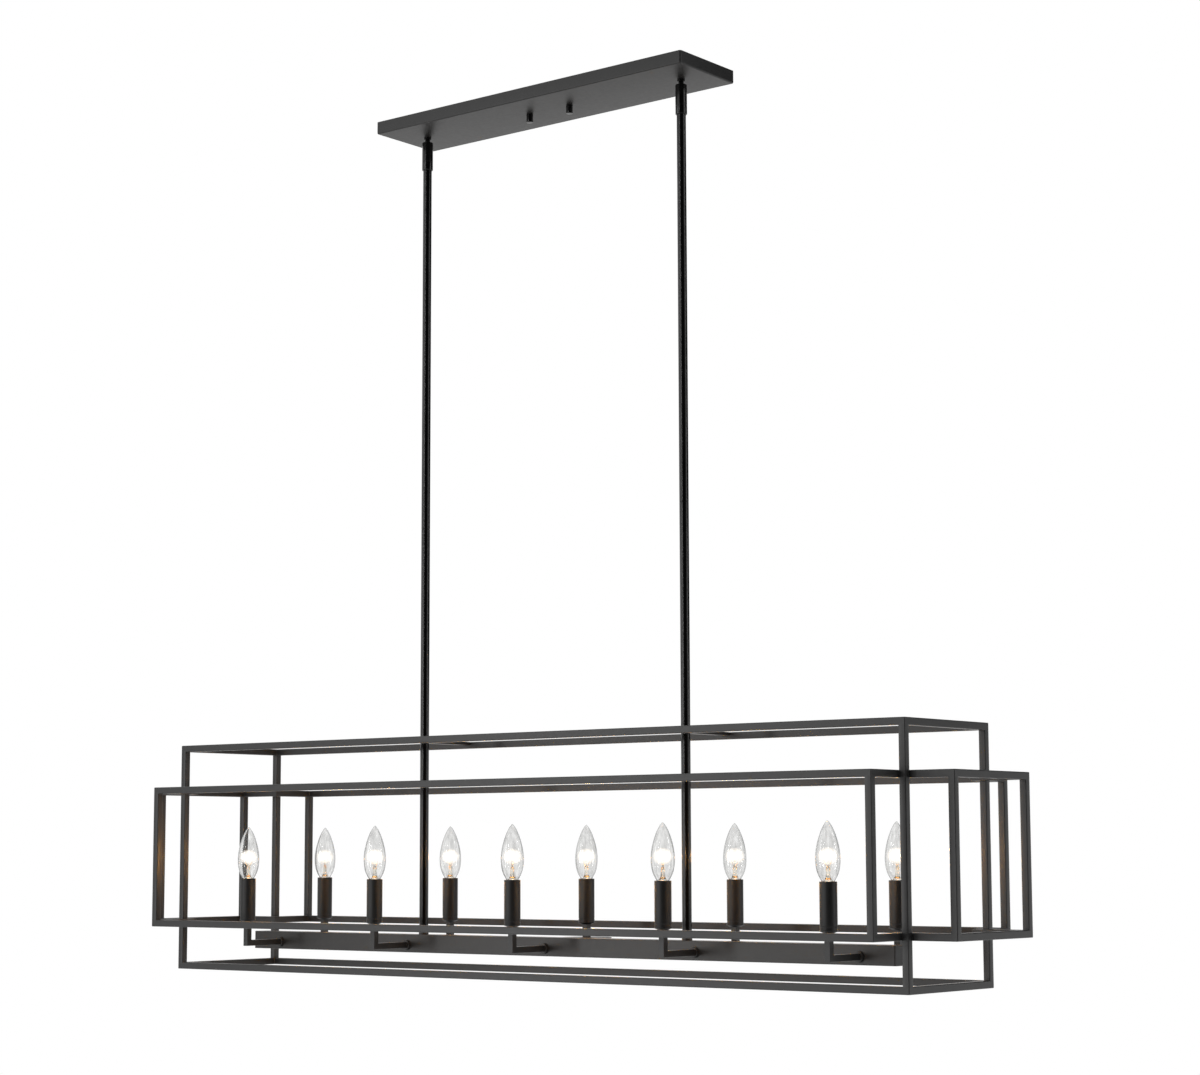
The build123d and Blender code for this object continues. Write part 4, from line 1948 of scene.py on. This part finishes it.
@dataclass
class Studio:
    """Pale floor, soft lamps, white surroundings and the camera of the photograph."""

    image_width: float = 1200.0
    focal_pixels: float = 2599.19
    sensor: float = 36.0
    view_end: float = 50.0
    camera_at: Point = (2.28649, -2.77719, -1.06665)
    yaw: float = 38.35
    pitch: float = 6.91
    roll: float = -0.18
    sky_strength: float = 0.55
    floor_z: float = -2.6
    floor_half: float = 6.0
    floor_tone: Colour = (0.86, 0.86, 0.85)
    floor_white: float = 0.8
    curtain_tone: Colour = (0.01, 0.01, 0.01)
    curtain_radius: float = 5.2
    curtain_height: float = 6.0
    curtain_panels: int = 16
    front_sweep: Pair = (-88.0, -6.0)
    right_sweep: Pair = (32.0, 100.0)
    right_low: float = -0.55
    # a tall strip and a soft key from the front left, a narrow strip that draws the light line
    # down each rod, and a thin strip from the right
    lamps: tuple[FlatLamp, ...] = (
        FlatLamp("strip_key", (-2.65, -3.5, -0.65), power=26.0, width=0.42, height=3.5),
        FlatLamp("soft_key", (-2.2, -3.9, -1.1), power=9.0, width=1.8, height=1.8),
        FlatLamp("streak_strip", (-0.46, -4.38, -0.65), power=26.0, width=0.12, height=3.6),
        FlatLamp("edge_strip", (3.9, 1.7, -0.4), power=16.0, width=0.16, height=3.6),
    )

    def build(self) -> None:
        """Make the surroundings."""
        self.build_world()
        self.build_floor()
        self.build_dark_sides()
        for lamp in self.lamps:
            lamp.build()
        self.build_camera()

    def build_world(self) -> None:
        """White backdrop, with less light on surfaces than the eye sees."""
        world = bpy.data.worlds.new("studio")
        bpy.context.scene.world = world
        world.use_nodes = True
        graph = Graph(world.node_tree)
        output = graph.add("ShaderNodeOutputWorld")
        path = graph.add("ShaderNodeLightPath")
        seen = graph.add("ShaderNodeBackground", Color=WHITE)
        lit = graph.add("ShaderNodeBackground", Color=WHITE, Strength=self.sky_strength)
        direct = graph.calculate(
            "MAXIMUM", path.outputs["Is Camera Ray"], path.outputs["Is Transmission Ray"]
        )
        plain = graph.calculate("MAXIMUM", direct, path.outputs["Is Glossy Ray"])
        sky = graph.layer(plain, lit.outputs[0], seen.outputs[0])
        graph.join(sky, output.inputs["Surface"])

    def set_up(
        self, name: str, corners: Sequence[Point], faces: Sequence[Sequence[int]], cloth: Material
    ) -> bpy.types.Object:
        """Make one plain mesh of the studio.

        Args:
            name: its name.
            corners: its corners.
            faces: the corners of each face.
            cloth: its material.

        Returns:
            The new object.
        """
        mesh = bpy.data.meshes.new(name)
        mesh.from_pydata(corners, [], faces)
        mesh.materials.append(cloth)
        return put(name, mesh)

    def build_floor(self) -> None:
        """Pale floor well below the pendant, clear when it is seen from underneath."""
        sheet = Sheet("pale_floor")
        diffuse = sheet.add("ShaderNodeBsdfDiffuse", Color=(*self.floor_tone, 1.0))
        white = sheet.add("ShaderNodeEmission", Strength=1.0)
        path = sheet.add("ShaderNodeLightPath")
        seen = sheet.calculate(
            "MAXIMUM", path.outputs["Is Camera Ray"], path.outputs["Is Glossy Ray"]
        )
        share = sheet.calculate("MULTIPLY", seen, self.floor_white)
        upper = sheet.layer(share, diffuse.outputs["BSDF"], white.outputs["Emission"])
        under = sheet.add("ShaderNodeNewGeometry").outputs["Backfacing"]
        clear = sheet.add("ShaderNodeBsdfTransparent").outputs["BSDF"]
        material = sheet.cover(sheet.layer(under, upper, clear))
        corners = [(x, y, 0) for x, y in rectangle(self.floor_half, self.floor_half)]
        floor = self.set_up("floor", corners, [(0, 1, 2, 3)], material)
        floor.location = (0, 0, self.floor_z)

    def build_dark_sides(self) -> None:
        """Dark curtains round the photographer's side and high on the right, for gloss alone."""
        sheet = Sheet("dark_curtain")
        dark = sheet.add("ShaderNodeBsdfDiffuse", Color=(*self.curtain_tone, 1.0))
        cloth = sheet.cover(dark.outputs["BSDF"])
        self.hang("front_curtain", self.front_sweep, self.floor_z, cloth)
        self.hang("right_curtain", self.right_sweep, self.right_low, cloth)

    def hang(self, name: str, sweep: Pair, low: float, cloth: Material) -> None:
        """Hang a curtain on an arc round the pendant, unseen except in gloss.

        Args:
            name: its name.
            sweep: first and last azimuth in degrees.
            low: height of its lower edge.
            cloth: its material.
        """
        top = self.floor_z + self.curtain_height
        rail = arc((0, 0), self.curtain_radius, *sweep, self.curtain_panels)
        corners = [(x, y, z) for x, y in rail for z in (low, top)]
        panels = [(2 * i, 2 * i + 2, 2 * i + 3, 2 * i + 1) for i in range(self.curtain_panels)]
        curtain = self.set_up(name, corners, panels, cloth)
        for unseen in ("camera", "diffuse", "transmission", "volume_scatter", "shadow"):
            setattr(curtain, f"visible_{unseen}", False)

    def build_camera(self) -> None:
        """Camera at the photograph's place, a little below the frames and looking up."""
        yaw, pitch, roll = (math.radians(a) for a in (self.yaw, self.pitch, self.roll))
        level = Vector((-math.sin(yaw), math.cos(yaw), 0))
        side = Vector((math.cos(yaw), math.sin(yaw), 0))
        ahead = level * math.cos(pitch) + Vector((0, 0, math.sin(pitch)))
        upward = side.cross(ahead)
        right = side * math.cos(roll) + upward * math.sin(roll)
        upward = upward * math.cos(roll) - side * math.sin(roll)
        camera = bpy.data.cameras.new("camera")
        camera.sensor_fit = "HORIZONTAL"
        camera.sensor_width = self.sensor
        camera.lens = self.focal_pixels / self.image_width * self.sensor
        camera.clip_end = self.view_end
        holder = put("camera", camera)
        turn = Matrix((right, upward, -ahead)).transposed()
        holder.matrix_world = Matrix.Translation(self.camera_at) @ turn.to_4x4()
        bpy.context.scene.camera = holder


def main() -> None:
    """Build every sub-assembly in order, then the surroundings."""
    logging.basicConfig(level=logging.INFO, format="%(message)s")
    bpy.context.scene.view_settings.view_transform = "Standard"
    finishes = Finishes()
    groups: list[SubAssembly] = [
        Canopy(finishes),
        Suspension(finishes),
        BoxFrame(finishes),
        BandFrame(finishes),
        Channel(finishes),
        CandleArms(finishes),
    ]
    for row in Side:
        for number in range(1, LIGHTS_PER_ROW + 1):
            groups.append(TorpedoBulb(finishes, row=row, number=number))
    for group in groups:
        group.build()
        group.finish()
        group.report()
    Studio().build()


if __name__ == "__main__":
    main()
